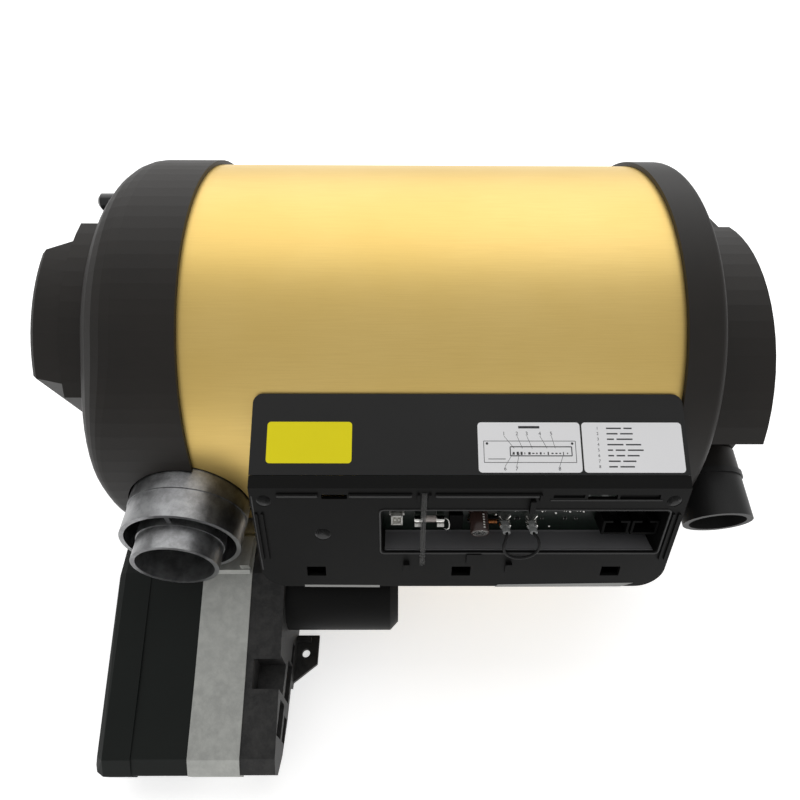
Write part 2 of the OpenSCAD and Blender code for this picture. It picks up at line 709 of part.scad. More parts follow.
// Dark end casting of the burner with its pockets, a bracket and the seat of the motor
module end_casting() {
  color("dimgray") at_drum() difference() {
    union() {
      prism_x(end_x0, motor_x0) burner_outline(0.8);
      translate([0, -blower_y, blower_z]) rod_x(blower_motor_r + 6, end_x0, motor_x0, 96);
    }
    translate([0, -blower_y, blower_z]) rod_x(shaft_r + 1, end_x0 - 1, motor_x0 + 1, 48);
    // Pockets round the front, open to the right
    for (q = casting_pockets) prism_x(end_x0 + 5, motor_x0 + 1) translate([-blower_y - q[0], blower_z - q[1]])
      square([q[2], q[3]]);
  }
}

// Motor of the burner's blower, with a bevelled end
module blower_motor() {
  bevel = 6;
  color("black") at_drum() translate([motor_x0, -blower_y, blower_z]) difference() {
    revolve_x(96) polygon([[0, 0], [blower_motor_r, 0], [blower_motor_r, blower_motor_len - bevel],
      [blower_motor_r - bevel, blower_motor_len], [0, blower_motor_len]]);
    rod_x(shaft_r + running_gap, -1, blower_motor_len * 0.6 + 1, 48);
  }
}

// Front foot: a tab on the floor with a screw hole and a slanting end, and a web up to the end casting
module front_foot() {
  tab_y = blower_y + 32;
  color("dimgray") difference() {
    translate([0, axis_y, 0]) union() {
      block([end_x0 + 2, -blower_y - 58, 0], [motor_x0, -blower_y + 28, burner_lift + 0.8]);
      translate([motor_x0, -tab_y]) linear_extrude(4) polygon([[-1, -22], [0, -22], [18, -8], [18, 14], [-1, 14]]);
      translate([motor_x0, -tab_y + 8, 0]) block([-1, 0, 0], [12, 3, burner_lift]);
    }
    translate([motor_x0 + 8, axis_y - tab_y, -1]) cylinder(r = foot_hole_r, h = 30, $fn = 32);
  }
}

// Two sheet feet under the covers, each with a saddle and a screw hole
module rear_feet() {
  color("gray") for (x = [jacket_x0 - 36, jacket_x1 + 1]) difference() {
    translate([x, axis_y, 0]) union() {
      block([0, -30, 0], [foot_w - 6, 110, foot_t]);
      block([0, 38, 0], [foot_w - 6, 78, 30]);
    }
    at_drum() rod_x(cover_r + seat_gap, x - 1, x + foot_w);
    translate([x + foot_w / 2 - 3, axis_y + 96, -1]) cylinder(r = foot_hole_r, h = foot_t + 2, $fn = 32);
  }
}

// Glow plug in the burner casting
module glow_plug() {
  color("silver") at_drum() translate([casting_x0 + casting_w / 2, -glow_y, -burner_drop - 6]) union() {
    cylinder(r = glow_r, h = glow_h, $fn = 32);
    translate([0, 0, -3]) cylinder(r = 2, h = 4, $fn = 32);
  }
}

// Fuel nipple in the burner casting
module fuel_nipple() {
  color("goldenrod") at_drum() translate([casting_x0 + casting_w / 2, -fuel_y, -burner_drop - 8]) difference() {
    cylinder(r = fuel_r, h = fuel_h, $fn = 32);
    translate([0, 0, -1]) cylinder(r = 1.2, h = fuel_h - 5, $fn = 16);
  }
}

// Two water pipes that come out of the left cover, each with a spigot that a cap or a hose goes over
module water_nipples() {
  tip = left_end - nipple_out + 2;
  color("silver") at_drum() for (a = nipple_angles) at_nipple(a) difference() {
    union() {
      rod_x(nipple_r, tip, tank_x0, small_fn);
      rod_x(nipple_r + nipple_root, tip + nipple_free, tank_x0, small_fn);
      ring_x(nipple_r + 2.5, nipple_r - 1, left_end + 9, left_end + 14, small_fn);
    }
    rod_x(nipple_r - 1.2, tip - 1, tank_x0 + 1, small_fn);
  }
}

// A push-on cap over a water pipe
module water_cap(a) {
  x0 = left_end - nipple_out;
  color("black") at_drum() at_nipple(a) difference() {
    revolve_x(48) polygon([[0, x0], [cap_r - 2, x0], [cap_r, x0 + 2], [cap_r, x0 + cap_len], [0, x0 + cap_len]]);
    rod_x(nipple_r + running_gap, x0 + 2, x0 + cap_len + 1, 48);
  }
}
module cold_water_cap() { water_cap(nipple_angles[0]); }
module hot_water_cap() { water_cap(nipple_angles[1]); }

// Directions of the box's faces, as [y, z]
function up_slope(a) = [cos(a), sin(a)];
function out_slope(a) = [-sin(a), cos(a)];
box_edge = [-edge_y, edge_z];
box_top = box_edge + label_w * up_slope(label_slope);
box_foot = box_edge - plate_h * up_slope(plate_slope);

// Moves the origin to the box's front edge, with Y up the connection face and Z out of it
module on_plate() { translate([0, -edge_y, edge_z]) rotate([plate_slope, 0, 0]) children(); }
// The same on the label face
module on_label() { translate([0, -edge_y, edge_z]) rotate([label_slope, 0, 0]) children(); }

// The box's side outline in Y and Z, drawn in by a wall
module box_outline(wall) {
  n1 = out_slope(label_slope);
  n2 = out_slope(plate_slope);
  foot = box_foot - wall * n2 + wall * up_slope(plate_slope);
  polygon([box_edge - wall * (n1 + n2) / (1 + n1 * n2), box_top - wall * n1 + (wall > 0 ? 9 : 0) * up_slope(label_slope),
    [-96 * drum_part, 50], [-96 * drum_part, -30], foot - 60 * n2, foot]);
}

// A face with two rounded lower corners
module face_outline(x0, x1, y0, y1, r) {
  translate([x0, y0 + r]) square([x1 - x0, y1 - y0 - r]);
  translate([x0 + r, y0]) square([x1 - x0 - 2 * r, y1 - y0]);
  for (x = [x0 + r, x1 - r]) translate([x, y0 + r]) circle(r = r, $fn = 48);
}

// The box's outer form, drawn in by a wall
module box_form(wall) {
  intersection() {
    prism_x(box_x0 + wall, box_x1 - wall) box_outline(wall);
    on_plate() translate([0, 0, -120]) linear_extrude(200)
      face_outline(box_x0 + wall, box_x1 - wall, wall - plate_h, 90, corner_r - wall);
    on_label() mirror([0, 1, 0]) translate([0, 0, -150]) linear_extrude(200)
      face_outline(box_x0 + wall, box_x1 - wall, wall - label_w, 120, lid_corner_r - wall);
  }
}

// Everything on the lid's side of the seam, or on the tray's side
module lid_side() { on_label() block([box_x0 - 1, seam_u + seat_gap / 2, -150], [box_x1 + 1, 200, 20]); }
module tray_side() { on_label() block([box_x0 - 1, -200, -150], [box_x1 + 1, seam_u - seat_gap / 2, 60]); }
// The room of the jacket and the covers under the box
module drum_room() {
  rod_x(jacket_r + seat_gap, -160, 200);
  rod_x(cover_r + seat_gap, jacket_x1 - seat_gap, 200);
}

// Lid of the control box, which carries the labels
module box_lid() {
  color("dimgray") at_drum() difference() {
    intersection() {
      difference() {
        box_form(0);
        box_form(box_t);
      }
      lid_side();
    }
    drum_room();
  }
}

// A slot or a ridge on the connection face between two places along X
module face_bar(x0, x1, t0, t1, z0, z1) { on_plate() block([x0, -t1, z0], [x1, -t0, z1]); }

// A rounded opening in the connection face
module face_hole(x0, x1, t0, t1, z0, r) {
  on_plate() translate([0, 0, z0]) linear_extrude(20) hull() for (x = [x0 + r, x1 - r]) for (t = [t0 + r, t1 - r])
    translate([x, -t]) circle(r = r, $fn = 24);
}

// Tray of the control box: the connection face, its window, slots, ridges and screw wells
module box_tray() {
  color("dimgray") at_drum() difference() {
    union() {
      intersection() {
        difference() {
          box_form(0);
          box_form(box_t);
        }
        tray_side();
      }
      // Sill, head and ends of the window, down to the circuit board
      difference() {
        face_bar(window_x0 - 2, window_x1 + 2, window_top - 2, window_foot + 2, 0.5 - board_depth, -1);
        face_hole(window_x0, window_x1, window_top, window_foot, -board_depth - 1, 3);
        face_bar(window_x0 + 3, window_x1 - 3, window_top - 3, window_top + 3, -board_depth - 1, -box_t - 0.5);
      }
      // Screw wells
      for (x = [box_x0 + 8.3, box_x1 - 8.4]) on_plate() translate([x, -screw_t, -14]) cylinder(r = tube_r, h = 13, $fn = 48);
      on_plate() translate([stud_x, -stud_t, -12]) cylinder(r = stud_r + 2, h = 11, $fn = 48);
      // Ridges under the front edge
      for (r = [[-72, -47], [-28.5, 10], [24, 87]]) face_bar(r[0], r[1], 4, 7, -1, 1);
      for (x = [13, 20, 87]) face_bar(x, x + 1.5, 4, 9, -1, 2);
      // Two guide hooks and the latch tab of the missing cover, and the lever at the window's head
      for (x = [5, 72]) {
        face_bar(x, x + 4, 63, 72, -1, 1);
        face_bar(x, x + 4, 63, 65, 0, 3);
      }
      face_bar(46, 55.5, 55, 64, -1, 1.5);
      face_bar(81.7, 85, 8.5, 19, -1, 3);
      // Grooved rim along both ends
      for (x = [box_x0 + 2, box_x1 - 7]) face_bar(x, x + 1.5, 20, 60, -1, 1.2);
      for (x = [box_x0 + 5.5, box_x1 - 3.5]) face_bar(x, x + 1.5, 20, 60, -1, 1.2);
    }
    drum_room();
    face_hole(window_x0, window_x1, window_top, window_foot, -box_t - 1, 3);
    for (x = [box_x0 + 8.3, box_x1 - 8.4]) on_plate() translate([x, -screw_t, -12]) cylinder(r = box_screw_r, h = 20, $fn = 48);
    on_plate() translate([stud_x, -stud_t, -10]) cylinder(r = stud_r, h = 20, $fn = 48);
    for (x = slots) face_bar(x, x + slot_w, slot_top, slot_top + slot_h, -box_t - 1, 2);
    face_bar(-45, -29.5, 5, 8.5, -box_t - 1, 2);
    face_bar(116.5, 134.5, 5, 8.5, -box_t - 1, 2);
    face_bar(136, 160.5, 5, 8.5, -1.5, 2);
    face_bar(95.5, 114.5, 5, 7.5, -1.2, 2);
    // Window of the reset button in the right wall
    face_bar(box_x1 - box_t - 1, box_x1 + 1, button_t, button_t + button_h, button_z - button_w, button_z);
  }
}

// Red reset button in the right wall, on a small switch
module reset_button() {
  g = seat_gap / 2;
  color("red") at_drum() union() {
    face_bar(box_x1 - box_t - 2, box_x1 + button_out, button_t + g, button_t + button_h - g, button_z - button_w + g, button_z - g);
    face_bar(box_x1 - box_t - 2, box_x1 - box_t - g, button_t - 1.5, button_t + button_h + 1.5, button_z - button_w - 1.5, button_z + 1.5);
  }
}

// Circuit board against the window's frame
module circuit_board() {
  color("darkgreen") at_drum()
    face_bar(window_x0 - 12, window_x1 + 3, 10, window_foot + 6, -board_depth - board_t, -board_depth);
}

// A part on the board from a place along X, at a height and a depth in front of it
module on_board(x, dt = 0, out = 0) { on_plate() translate([x, -part_t - dt, -board_depth + out]) children(); }

// Glass fuse with two metal ends
module fuse() {
  color("silver") at_drum() on_board(fuse_x, -2.7, fuse_out) rotate([0, 90, 0]) union() {
    cylinder(r = 2.2, h = fuse_len, $fn = 48);
    for (z = [0, fuse_len - 5.5]) translate([0, 0, z]) cylinder(r = fuse_r, h = 5.5, $fn = 48);
  }
}

// Two spring clips that hold the fuse
module fuse_clips() {
  arm = fuse_r + 0.2;
  color("silver") at_drum() for (x = [fuse_x + 0.5, fuse_x + fuse_len - 5]) on_board(x, -2.7) {
    block([0, -arm - 0.8, 0], [4.5, arm + 0.8, 0.8]);
    block([0, -arm - 0.8, 0], [4.5, -arm, fuse_out + 2.5]);
    block([0, arm, 0], [4.5, arm + 0.8, fuse_out + 2.5]);
  }
}

// Clear strap over the window, hooked at its top and its foot
module window_strap() {
  color("lightgray") at_drum() union() {
    face_bar(15.5, 19, 4, 66, 0, 1);
    face_bar(14.8, 19.7, 3.5, 7, 1, 2.5);
  }
}

// Choke: a rod wound with copper wire on two legs
module choke() {
  color("sienna") at_drum() on_board(45, -7.2, 10.5) {
    rotate([0, 90, 0]) cylinder(r = 1.7, h = 21.5, $fn = 32);
    for (x = [0:12]) translate([2 + x * 1.45, 0, 0]) rotate([0, 90, 0]) rotate_extrude($fn = 24) translate([1.6, 0]) circle(r = 0.6, $fn = 10);
    for (x = [0, 20.3]) block([x, -0.6, -10.5], [x + 1.2, 0.6, 0]);
  }
}

// Upright capacitor with a groove round its foot
module capacitor() {
  color("saddlebrown") at_drum() on_board(51) difference() {
    cylinder(r = 5, h = 13.5, $fn = 64);
    translate([0, 0, 2.4]) rotate_extrude($fn = 64) translate([5.3, 0]) circle(r = 0.8, $fn = 12);
    translate([0, 0, 13]) cylinder(r = 3.8, h = 1, $fn = 48);
  }
}

// Relay
module relay() { color("black") at_drum() on_board(35.2) block([0, -6, 0], [8.6, 6, 7]); }

// White two-pin socket of the sensor
module sensor_socket() {
  color("white") at_drum() on_board(-3) difference() {
    union() {
      block([0, -2, 0], [7.5, 6, 7.5]);
      block([-1.2, 4, 0], [8.7, 6, 5]);
    }
    block([1.2, -0.8, 4], [6.3, 4.8, 8.5]);
  }
}

// Two spade tabs with sleeves for the supply
module power_tabs() {
  color("gainsboro") at_drum() for (x = tab_places) on_board(x, 0.8) {
    block([-3.15, -0.4, 0], [3.15, 0.4, 9]);
    difference() {
      block([-3.7, -2.2, 6.5], [3.7, 2.2, tab_h]);
      block([-3.15, -0.7, 6], [3.15, 0.7, 9.05]);
    }
  }
}

// Two keyed sockets for the control cables
module control_sockets() {
  color("black") at_drum() for (x = [132.6, 151.2]) on_board(x) difference() {
    block([0, -3.5, 0], [17, 8, 14]);
    block([1.5, -2, 3], [15.5, 6.5, 15]);
    block([6, 6, 3], [11, 9, 15]);
    for (k = [0:3]) block([2.5 + k * 3.6, 1.5, 2], [3.7 + k * 3.6, 2.7, 4]);
  }
}

// Small cable clip on the right wall
module wire_clip() {
  color("lightgray") at_drum() difference() {
    face_bar(box_x1, box_x1 + 2, 16, 24, -9, -3);
    face_bar(box_x1 + 0.8, box_x1 + 3, 18, 22, -10, -4.2);
  }
}

// Route of the jumper wire from one tab to the other, as [x, height up the face, distance out of it]
jumper_points = [[71.15, -40.8, tab_h - board_depth], [71.15, -40.8, -3], [70.5, -42, -0.9], [69.6, -43.8, 0.6],
  [68.9, -46.3, 1.6], [69.2, -49.5, 2.2], [70.8, -52.6, 2.5], [73.6, -55, 2.6], [77.5, -56.4, 2.6], [81.2, -56.5, 2.6],
  [85.2, -55.4, 2.6], [88.6, -53, 2.6], [91, -49.6, 2.3], [91.6, -46.2, 1.7], [91.1, -43.6, 0.6], [90.1, -41.8, -0.9],
  [88.65, -40.8, -3], [88.65, -40.8, tab_h - board_depth]];
jumper_r = 0.9;

// A tube of n sides along a list of points
function unit(v) = v / norm(v);
function tangent(p, i) = unit(p[min(i + 1, len(p) - 1)] - p[max(i - 1, 0)]);
module tube_along(p, r, n) {
  rings = [for (i = [0:len(p) - 1]) let (t = tangent(p, i), a = unit(cross(t, [0.1, 0.3, 1])), b = cross(t, a))
    for (k = [0:n - 1]) p[i] + r * (a * cos(k * 360 / n) + b * sin(k * 360 / n))];
  last = len(p) - 1;
  polyhedron(rings, concat([[for (k = [0:n - 1]) k]], [[for (k = [n - 1:-1:0]) last * n + k]],
    [for (i = [0:last - 1]) for (k = [0:n - 1]) [i * n + k, (i + 1) * n + k, (i + 1) * n + (k + 1) % n]],
    [for (i = [0:last - 1]) for (k = [0:n - 1]) [i * n + k, (i + 1) * n + (k + 1) % n, i * n + (k + 1) % n]]));
}

// Jumper wire between the two supply tabs
module jumper_wire() { color("black") at_drum() on_plate() tube_along(jumper_points, jumper_r, 8); }

gold_jacket();
insulation_shell();
water_tank();
heat_exchanger();
combustion_tube();
left_cover();
fan_hood();
intake_grille();
inlet_ring();
circulation_fan();
fan_motor();
motor_bracket();
right_cover();
air_manifold();
warm_air_outlets();
flue_connection();
cover_ring();
blower_housing();
blower_wheel();
burner_casting();
end_casting();
blower_motor();
front_foot();
glow_plug();
fuel_nipple();
box_lid();
box_tray();
circuit_board();
fuse();
fuse_clips();
window_strap();
choke();
capacitor();
relay();
sensor_socket();
power_tabs();
jumper_wire();
control_sockets();
reset_button();
wire_clip();
water_nipples();
cold_water_cap();
hot_water_cap();
rear_feet();
fan_shaft();
wheel_shaft();
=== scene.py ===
"""Combi heater: finishes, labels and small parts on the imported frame, with a camera and soft studio light."""
import math
import random

import bmesh
import bpy
from mathutils import Matrix, Vector


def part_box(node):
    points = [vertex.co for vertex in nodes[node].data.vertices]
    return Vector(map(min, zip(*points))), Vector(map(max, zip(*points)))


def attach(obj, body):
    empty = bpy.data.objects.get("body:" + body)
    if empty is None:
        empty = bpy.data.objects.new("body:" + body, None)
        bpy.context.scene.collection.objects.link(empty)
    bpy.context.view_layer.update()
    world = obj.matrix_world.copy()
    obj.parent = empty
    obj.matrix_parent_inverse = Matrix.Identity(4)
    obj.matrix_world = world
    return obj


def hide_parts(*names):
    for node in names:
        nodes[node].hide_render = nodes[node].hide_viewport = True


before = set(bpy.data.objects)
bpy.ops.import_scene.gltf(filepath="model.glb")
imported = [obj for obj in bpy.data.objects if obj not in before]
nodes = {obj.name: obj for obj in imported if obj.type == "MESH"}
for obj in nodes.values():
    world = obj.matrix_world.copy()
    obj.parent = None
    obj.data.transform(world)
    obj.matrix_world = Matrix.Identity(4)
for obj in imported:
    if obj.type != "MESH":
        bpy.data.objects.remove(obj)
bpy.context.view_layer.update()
scene = bpy.context.scene
MM = 0.001

# The drum's axis and the right cover's radius in metres, read from the frame
jacket_low, jacket_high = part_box("gold_jacket")
AXIS_Y = (jacket_low.y + jacket_high.y) / 2
AXIS_Z = (jacket_low.z + jacket_high.z) / 2
cover_low, cover_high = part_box("right_cover")
COVER_R = (cover_high.z - cover_low.z) / 2

# The control box's front edge in Y and Z, and the slopes of its label face over it and connection face under it
BOX_EDGE = (AXIS_Y - 174.8 * MM, AXIS_Z + 56.1 * MM)
LABEL_SLOPE = math.radians(27.2)
PLATE_SLOPE = math.radians(71.8)

# The photograph's camera: its lens, place beside the drum's axis, tilt from straight down and small turns
SENSOR_MM = 36
LENS_MM = 25.69
SHIFT_Y = -0.025
CAMERA_FRONT = 349.7 * MM
CAMERA_OVER = 356.1 * MM
CAMERA_TILT = math.radians(41)
CAMERA_ROLL = -0.007
CAMERA_PAN = 0.002

# The studio: half the floor's side, the floor's colour and its glow where it is seen, the surroundings and the lamp
FLOOR_HALF = 6.0
FLOOR_COLOR = (0.8, 0.8, 0.8)
FLOOR_GLOW = (0.6, 0.6, 0.6)
WORLD_STRENGTH = 0.6
LAMP_PLACE = (0.0, 1.75, 2.2)
LAMP_TARGET = (0, 0.05, 0.15)
LAMP_SIZE = (5.0, 4.0)
LAMP_WATTS = 66

# Places of the sockets on a Mix node that is set to colours
MIX_FACTOR, MIX_A, MIX_B, MIX_RESULT = 0, 6, 7, 2


def make_camera():
    """The photograph's view: 49 degrees down on the front, the optical axis a little over the middle."""
    data = bpy.data.cameras.new("camera")
    data.sensor_width = SENSOR_MM
    data.lens = LENS_MM
    data.shift_y = SHIFT_Y
    data.clip_start, data.clip_end = 0.01, 20
    cam = bpy.data.objects.new("camera", data)
    cam.location = (0, AXIS_Y - CAMERA_FRONT, AXIS_Z + CAMERA_OVER)
    tilt = Matrix.Rotation(CAMERA_TILT, 3, "X")
    turn = tilt @ Matrix.Rotation(CAMERA_ROLL, 3, "Y") @ Matrix.Rotation(CAMERA_PAN, 3, "Z")
    cam.rotation_euler = turn.to_euler()
    scene.collection.objects.link(cam)
    scene.camera = cam


def area_lamp(name, place, target, size, power):
    """A soft rectangular lamp that points at a target."""
    data = bpy.data.lights.new(name, "AREA")
    data.shape = "RECTANGLE"
    data.size, data.size_y = size
    data.energy = power
    lamp = bpy.data.objects.new(name, data)
    lamp.location = place
    lamp.rotation_euler = (Vector(target) - Vector(place)).to_track_quat("-Z", "Y").to_euler()
    scene.collection.objects.link(lamp)


class Val:
    """A socket in a node tree with the arithmetic that the finishes use."""

    def __init__(self, finish, socket):
        self.finish, self.socket = finish, socket

    def _math(self, operation, *values):
        return self.finish.node("ShaderNodeMath", {"operation": operation}, values)

    def __add__(self, other):
        return self._math("ADD", self, other)

    def __mul__(self, other):
        return self._math("MULTIPLY", self, other)

    def band(self, low, high):
        """0 under low, 1 over high and straight between them."""
        ends = {"Value": self, "From Min": low, "From Max": high, "To Min": 0.0, "To Max": 1.0}
        return self.finish.node("ShaderNodeMapRange", {"clamp": True}, ends)


class Finish:
    """A material and the nodes that make it."""

    def __init__(self, name):
        self.material = bpy.data.materials.new(name)
        self.material.use_nodes = True
        self.tree = self.material.node_tree
        self.shader = self.tree.nodes["Principled BSDF"]

    def node(self, kind, settings=None, inputs=(), output=0):
        """Adds a node: its settings first, then the values or links of its sockets."""
        made = self.tree.nodes.new(kind)
        for key, value in (settings or {}).items():
            if key == "stops":
                ramp = made.color_ramp
                while len(ramp.elements) < len(value):
                    ramp.elements.new(0.5)
                for element, (place, color) in zip(ramp.elements, value):
                    element.position, element.color = place, (*color, 1)
            else:
                setattr(made, key, value)
        pairs = inputs.items() if isinstance(inputs, dict) else enumerate(inputs)
        for key, value in pairs:
            self.feed(made.inputs[key], value)
        return Val(self, made.outputs[output])

    def feed(self, socket, value):
        """Links a value to a socket, or sets it there."""
        if isinstance(value, Val):
            self.tree.links.new(value.socket, socket)
        elif isinstance(value, tuple) and socket.type == "RGBA" and len(value) == 3:
            socket.default_value = (*value, 1)
        else:
            socket.default_value = value

    def place(self, scale=(1, 1, 1)):
        """The object's own coordinates in metres, scaled."""
        where = self.node("ShaderNodeTexCoord", output="Object")
        return self.node("ShaderNodeMapping", {}, {"Vector": where, "Scale": scale})

    def noise(self, scale, detail=3.0, rough=0.55, stretch=(1, 1, 1)):
        """Noise on the object's own coordinates, stretched along them where it is asked to be."""
        settings = {"Vector": self.place(stretch), "Scale": scale, "Detail": detail, "Roughness": rough}
        return self.node("ShaderNodeTexNoise", {}, settings)

    def mix(self, factor, a, b):
        """A colour between a and b."""
        made = self.tree.nodes.new("ShaderNodeMix")
        made.data_type = "RGBA"
        self.feed(made.inputs[MIX_FACTOR], factor)
        self.feed(made.inputs[MIX_A], a)
        self.feed(made.inputs[MIX_B], b)
        return Val(self, made.outputs[MIX_RESULT])

    def bump(self, height, strength, depth):
        """A normal that is disturbed by a height, over a depth in metres."""
        return self.node("ShaderNodeBump", {}, {"Strength": strength, "Distance": depth, "Height": height})

    def set(self, **sockets):
        """Sets or links the main shader's sockets, with underscores for the spaces in their names."""
        for name, value in sockets.items():
            self.feed(self.shader.inputs[name.replace("_", " ")], value)
        return self.material


def grained(name, color, rough=0.55, grain=2600, depth=0.00006, tint=None, spread=0.25, coat=0.0, shine=0.3):
    """Moulded plastic or paint: a fine grain, faint patches of another tint and uneven gloss."""
    f = Finish(name)
    fine = f.noise(grain, 2.0, 0.6)
    wide = f.noise(14, 4.0, 0.6)
    shade = wide.band(0.3, 0.7)
    other = tint or tuple(c * (1 + spread) for c in color)
    return f.set(Base_Color=f.mix(shade, color, other), Roughness=wide * 0.14 + (rough - 0.07) + fine * 0.04,
                 Coat_Weight=coat, Specular_IOR_Level=shine, Normal=f.bump(fine, 0.5, depth))


def gold_finish():
    """Gold sheet with a fine grain along the drum and a slow change of tone."""
    f = Finish("gold_sheet")
    streak = f.noise(1.0, 4.0, 0.65, (36, 2300, 2300))
    fine = f.noise(1.0, 3.0, 0.7, (220, 5200, 5200))
    wide = f.noise(9.0, 3.0, 0.5)
    tone = f.mix(wide.band(0.35, 0.7), (0.76, 0.54, 0.165), (0.81, 0.59, 0.205))
    color = f.mix(streak.band(0.42, 0.62) * 0.22, tone, (0.66, 0.45, 0.135))
    return f.set(Base_Color=color, Metallic=1.0, Coat_Weight=0.3, Coat_Roughness=0.45,
                 Roughness=streak * 0.1 + fine * 0.06 + 0.38,
                 Normal=f.bump(streak + fine * 0.6, 0.3, 0.00008))


def cast_finish(name, light=(0.5, 0.505, 0.505), dark=(0.33, 0.33, 0.33), rough=0.52, metal=0.85):
    """Bare casting: mottled, a little pitted, smoother where it was handled."""
    f = Finish(name)
    mottle = f.noise(120, 8.0, 0.7)
    pits = f.noise(1100, 3.0, 0.6)
    stain = f.noise(24, 4.0, 0.6)
    color = f.mix(mottle.band(0.4, 0.62), dark, light)
    color = f.mix(stain.band(0.5, 0.75) * 0.3, color, tuple(c * 1.2 for c in light))
    return f.set(Base_Color=color, Metallic=metal, Roughness=mottle * 0.25 + (rough - 0.12),
                 Normal=f.bump(pits + mottle * 1.5, 0.45, 0.00022))


def brushed(name, color, rough=0.3, stretch=(40, 2200, 2200), metal=1.0):
    """Turned or drawn metal with a fine grain."""
    f = Finish(name)
    streak = f.noise(1.0, 3.0, 0.6, stretch)
    return f.set(Base_Color=f.mix(streak.band(0.35, 0.7), color, tuple(c * 0.78 for c in color)), Metallic=metal,
                 Roughness=streak * 0.15 + (rough - 0.06), Normal=f.bump(streak, 0.3, 0.00008))


def clear_finish(name, color, alpha=0.45, rough=0.2):
    """Milky see-through plastic or glass."""
    f = Finish(name)
    cloud = f.noise(260, 3.0, 0.5)
    return f.set(Base_Color=color, Roughness=cloud * 0.15 + rough, Alpha=cloud * 0.1 + (alpha - 0.05))


def board_finish():
    """Green circuit board with faint tracks under its lacquer."""
    f = Finish("circuit_board")
    pattern = {"Vector": f.place(), "Scale": 240.0, "Mortar Size": 0.03, "Color1": (0, 0, 0),
               "Color2": (0.6, 0.6, 0.6), "Mortar": (1, 1, 1)}
    track = f.node("ShaderNodeTexBrick", {"offset": 0.5}, pattern)
    lacquer = f.mix(track, (0.0014, 0.0042, 0.0026), (0.0032, 0.011, 0.006))
    return f.set(Base_Color=lacquer, Roughness=0.35, Coat_Weight=0.4)


FINISHES = {
    "gold": gold_finish(),
    "cover": grained("cover_plastic", (0.0105, 0.009, 0.0078), 0.48, tint=(0.0165, 0.0137, 0.0113), shine=0.27),
    "box": grained("box_plastic", (0.0105, 0.0105, 0.0105), 0.46, grain=3200, depth=0.00004),
    "tray": grained("tray_plastic", (0.0042, 0.0042, 0.004), 0.5, grain=3200, depth=0.00004, shine=0.12),
    "housing": grained("burner_plastic", (0.0085, 0.0102, 0.0092), 0.5, tint=(0.0105, 0.0124, 0.0112), shine=0.14),
    "foil": grained("edge_foil", (0.32, 0.32, 0.31), 0.4, grain=1500, depth=0.00001, spread=0.2),
    # Painted highlight: the beads are the tray's own edges, given a lighter colour than the tray's plastic so that they
    # show light lines, over a real gloss
    "bead": grained("bead_plastic_painted_highlight", (0.014, 0.014, 0.014), 0.36, grain=3200, depth=0.00003, shine=0.5),
    # Painted glint: the wells are in the tray's own plastic, given a lighter colour than the tray so that their lower
    # walls show a light triangle, over a real gloss
    "well": grained("well_plastic_painted_glint", (0.022, 0.022, 0.022), 0.24, grain=3200, depth=0.00002, shine=0.95),
    "socket": grained("socket_plastic", (0.0025, 0.0025, 0.0025), 0.6, shine=0.06),
    "black": grained("black_plastic", (0.0095, 0.0095, 0.0095), 0.48),
    "paint": grained("dark_paint", (0.03, 0.03, 0.032), 0.4, coat=0.2),
    "cast": cast_finish("cast_aluminium", (0.48, 0.487, 0.46), (0.39, 0.395, 0.375), 0.55, 0.8),
    "flue": cast_finish("flue_casting", (0.34, 0.345, 0.35), (0.215, 0.215, 0.22), 0.36, 0.95),
    # Painted shade: the burner's end casting is aluminium in the shadow under the control box, given a near black
    # colour; the front foot takes the same finish
    "shade_painted_cast": cast_finish("dark_casting", (0.035, 0.034, 0.033), (0.014, 0.014, 0.014), 0.6, 0.35),
    "steel": brushed("plated_steel", (0.55, 0.55, 0.53)),
    "stainless": brushed("stainless_steel", (0.6, 0.6, 0.6), 0.28),
    # Painted light: the window's lower wall is the tray's dark plastic, given a pale grey for the light that falls on
    # it from above
    "sill": grained("window_sill_painted_light", (0.11, 0.11, 0.114), 0.5, grain=3200, depth=0.00004),
    "tin": brushed("tinned_metal", (0.8, 0.79, 0.76), 0.2, (900, 900, 900)),
    "brass": brushed("brass", (0.66, 0.46, 0.17), 0.28),
    "copper": brushed("copper", (0.55, 0.22, 0.08), 0.3, (1200, 1200, 200)),
    "foam": grained("foam", (0.05, 0.05, 0.052), 0.9, grain=700, depth=0.0006),
    "board": board_finish(),
    "glass": clear_finish("fuse_glass", (0.8, 0.72, 0.68), 0.42, 0.08),
    "clear": clear_finish("clear_plastic", (0.07, 0.07, 0.068), 0.4, 0.3),
    "sleeve": clear_finish("sleeve_plastic", (0.34, 0.35, 0.345), 0.72, 0.25),
    "white": grained("white_plastic", (0.72, 0.71, 0.67), 0.35, spread=0.06),
    "sleeve_brown": grained("capacitor_sleeve", (0.03, 0.016, 0.013), 0.3, grain=900, depth=0.00002, coat=0.4),
    "red": grained("red_plastic", (0.42, 0.035, 0.02), 0.35, spread=0.2, coat=0.3),
    "rubber": grained("rubber", (0.006, 0.006, 0.0065), 0.28, coat=0.5),
    "wire": grained("wire_sheath", (0.004, 0.004, 0.004), 0.4, shine=0.22),
    "yellow": grained("yellow_film", (0.80, 0.70, 0.001), 0.5, grain=1500, depth=0.00001, spread=0.04),
    "film": grained("white_film", (0.80, 0.80, 0.81), 0.45, grain=1500, depth=0.00001, spread=0.03),
    "ink": grained("printed_ink", (0.03, 0.03, 0.032), 0.5, grain=1500, depth=0.00001),
}

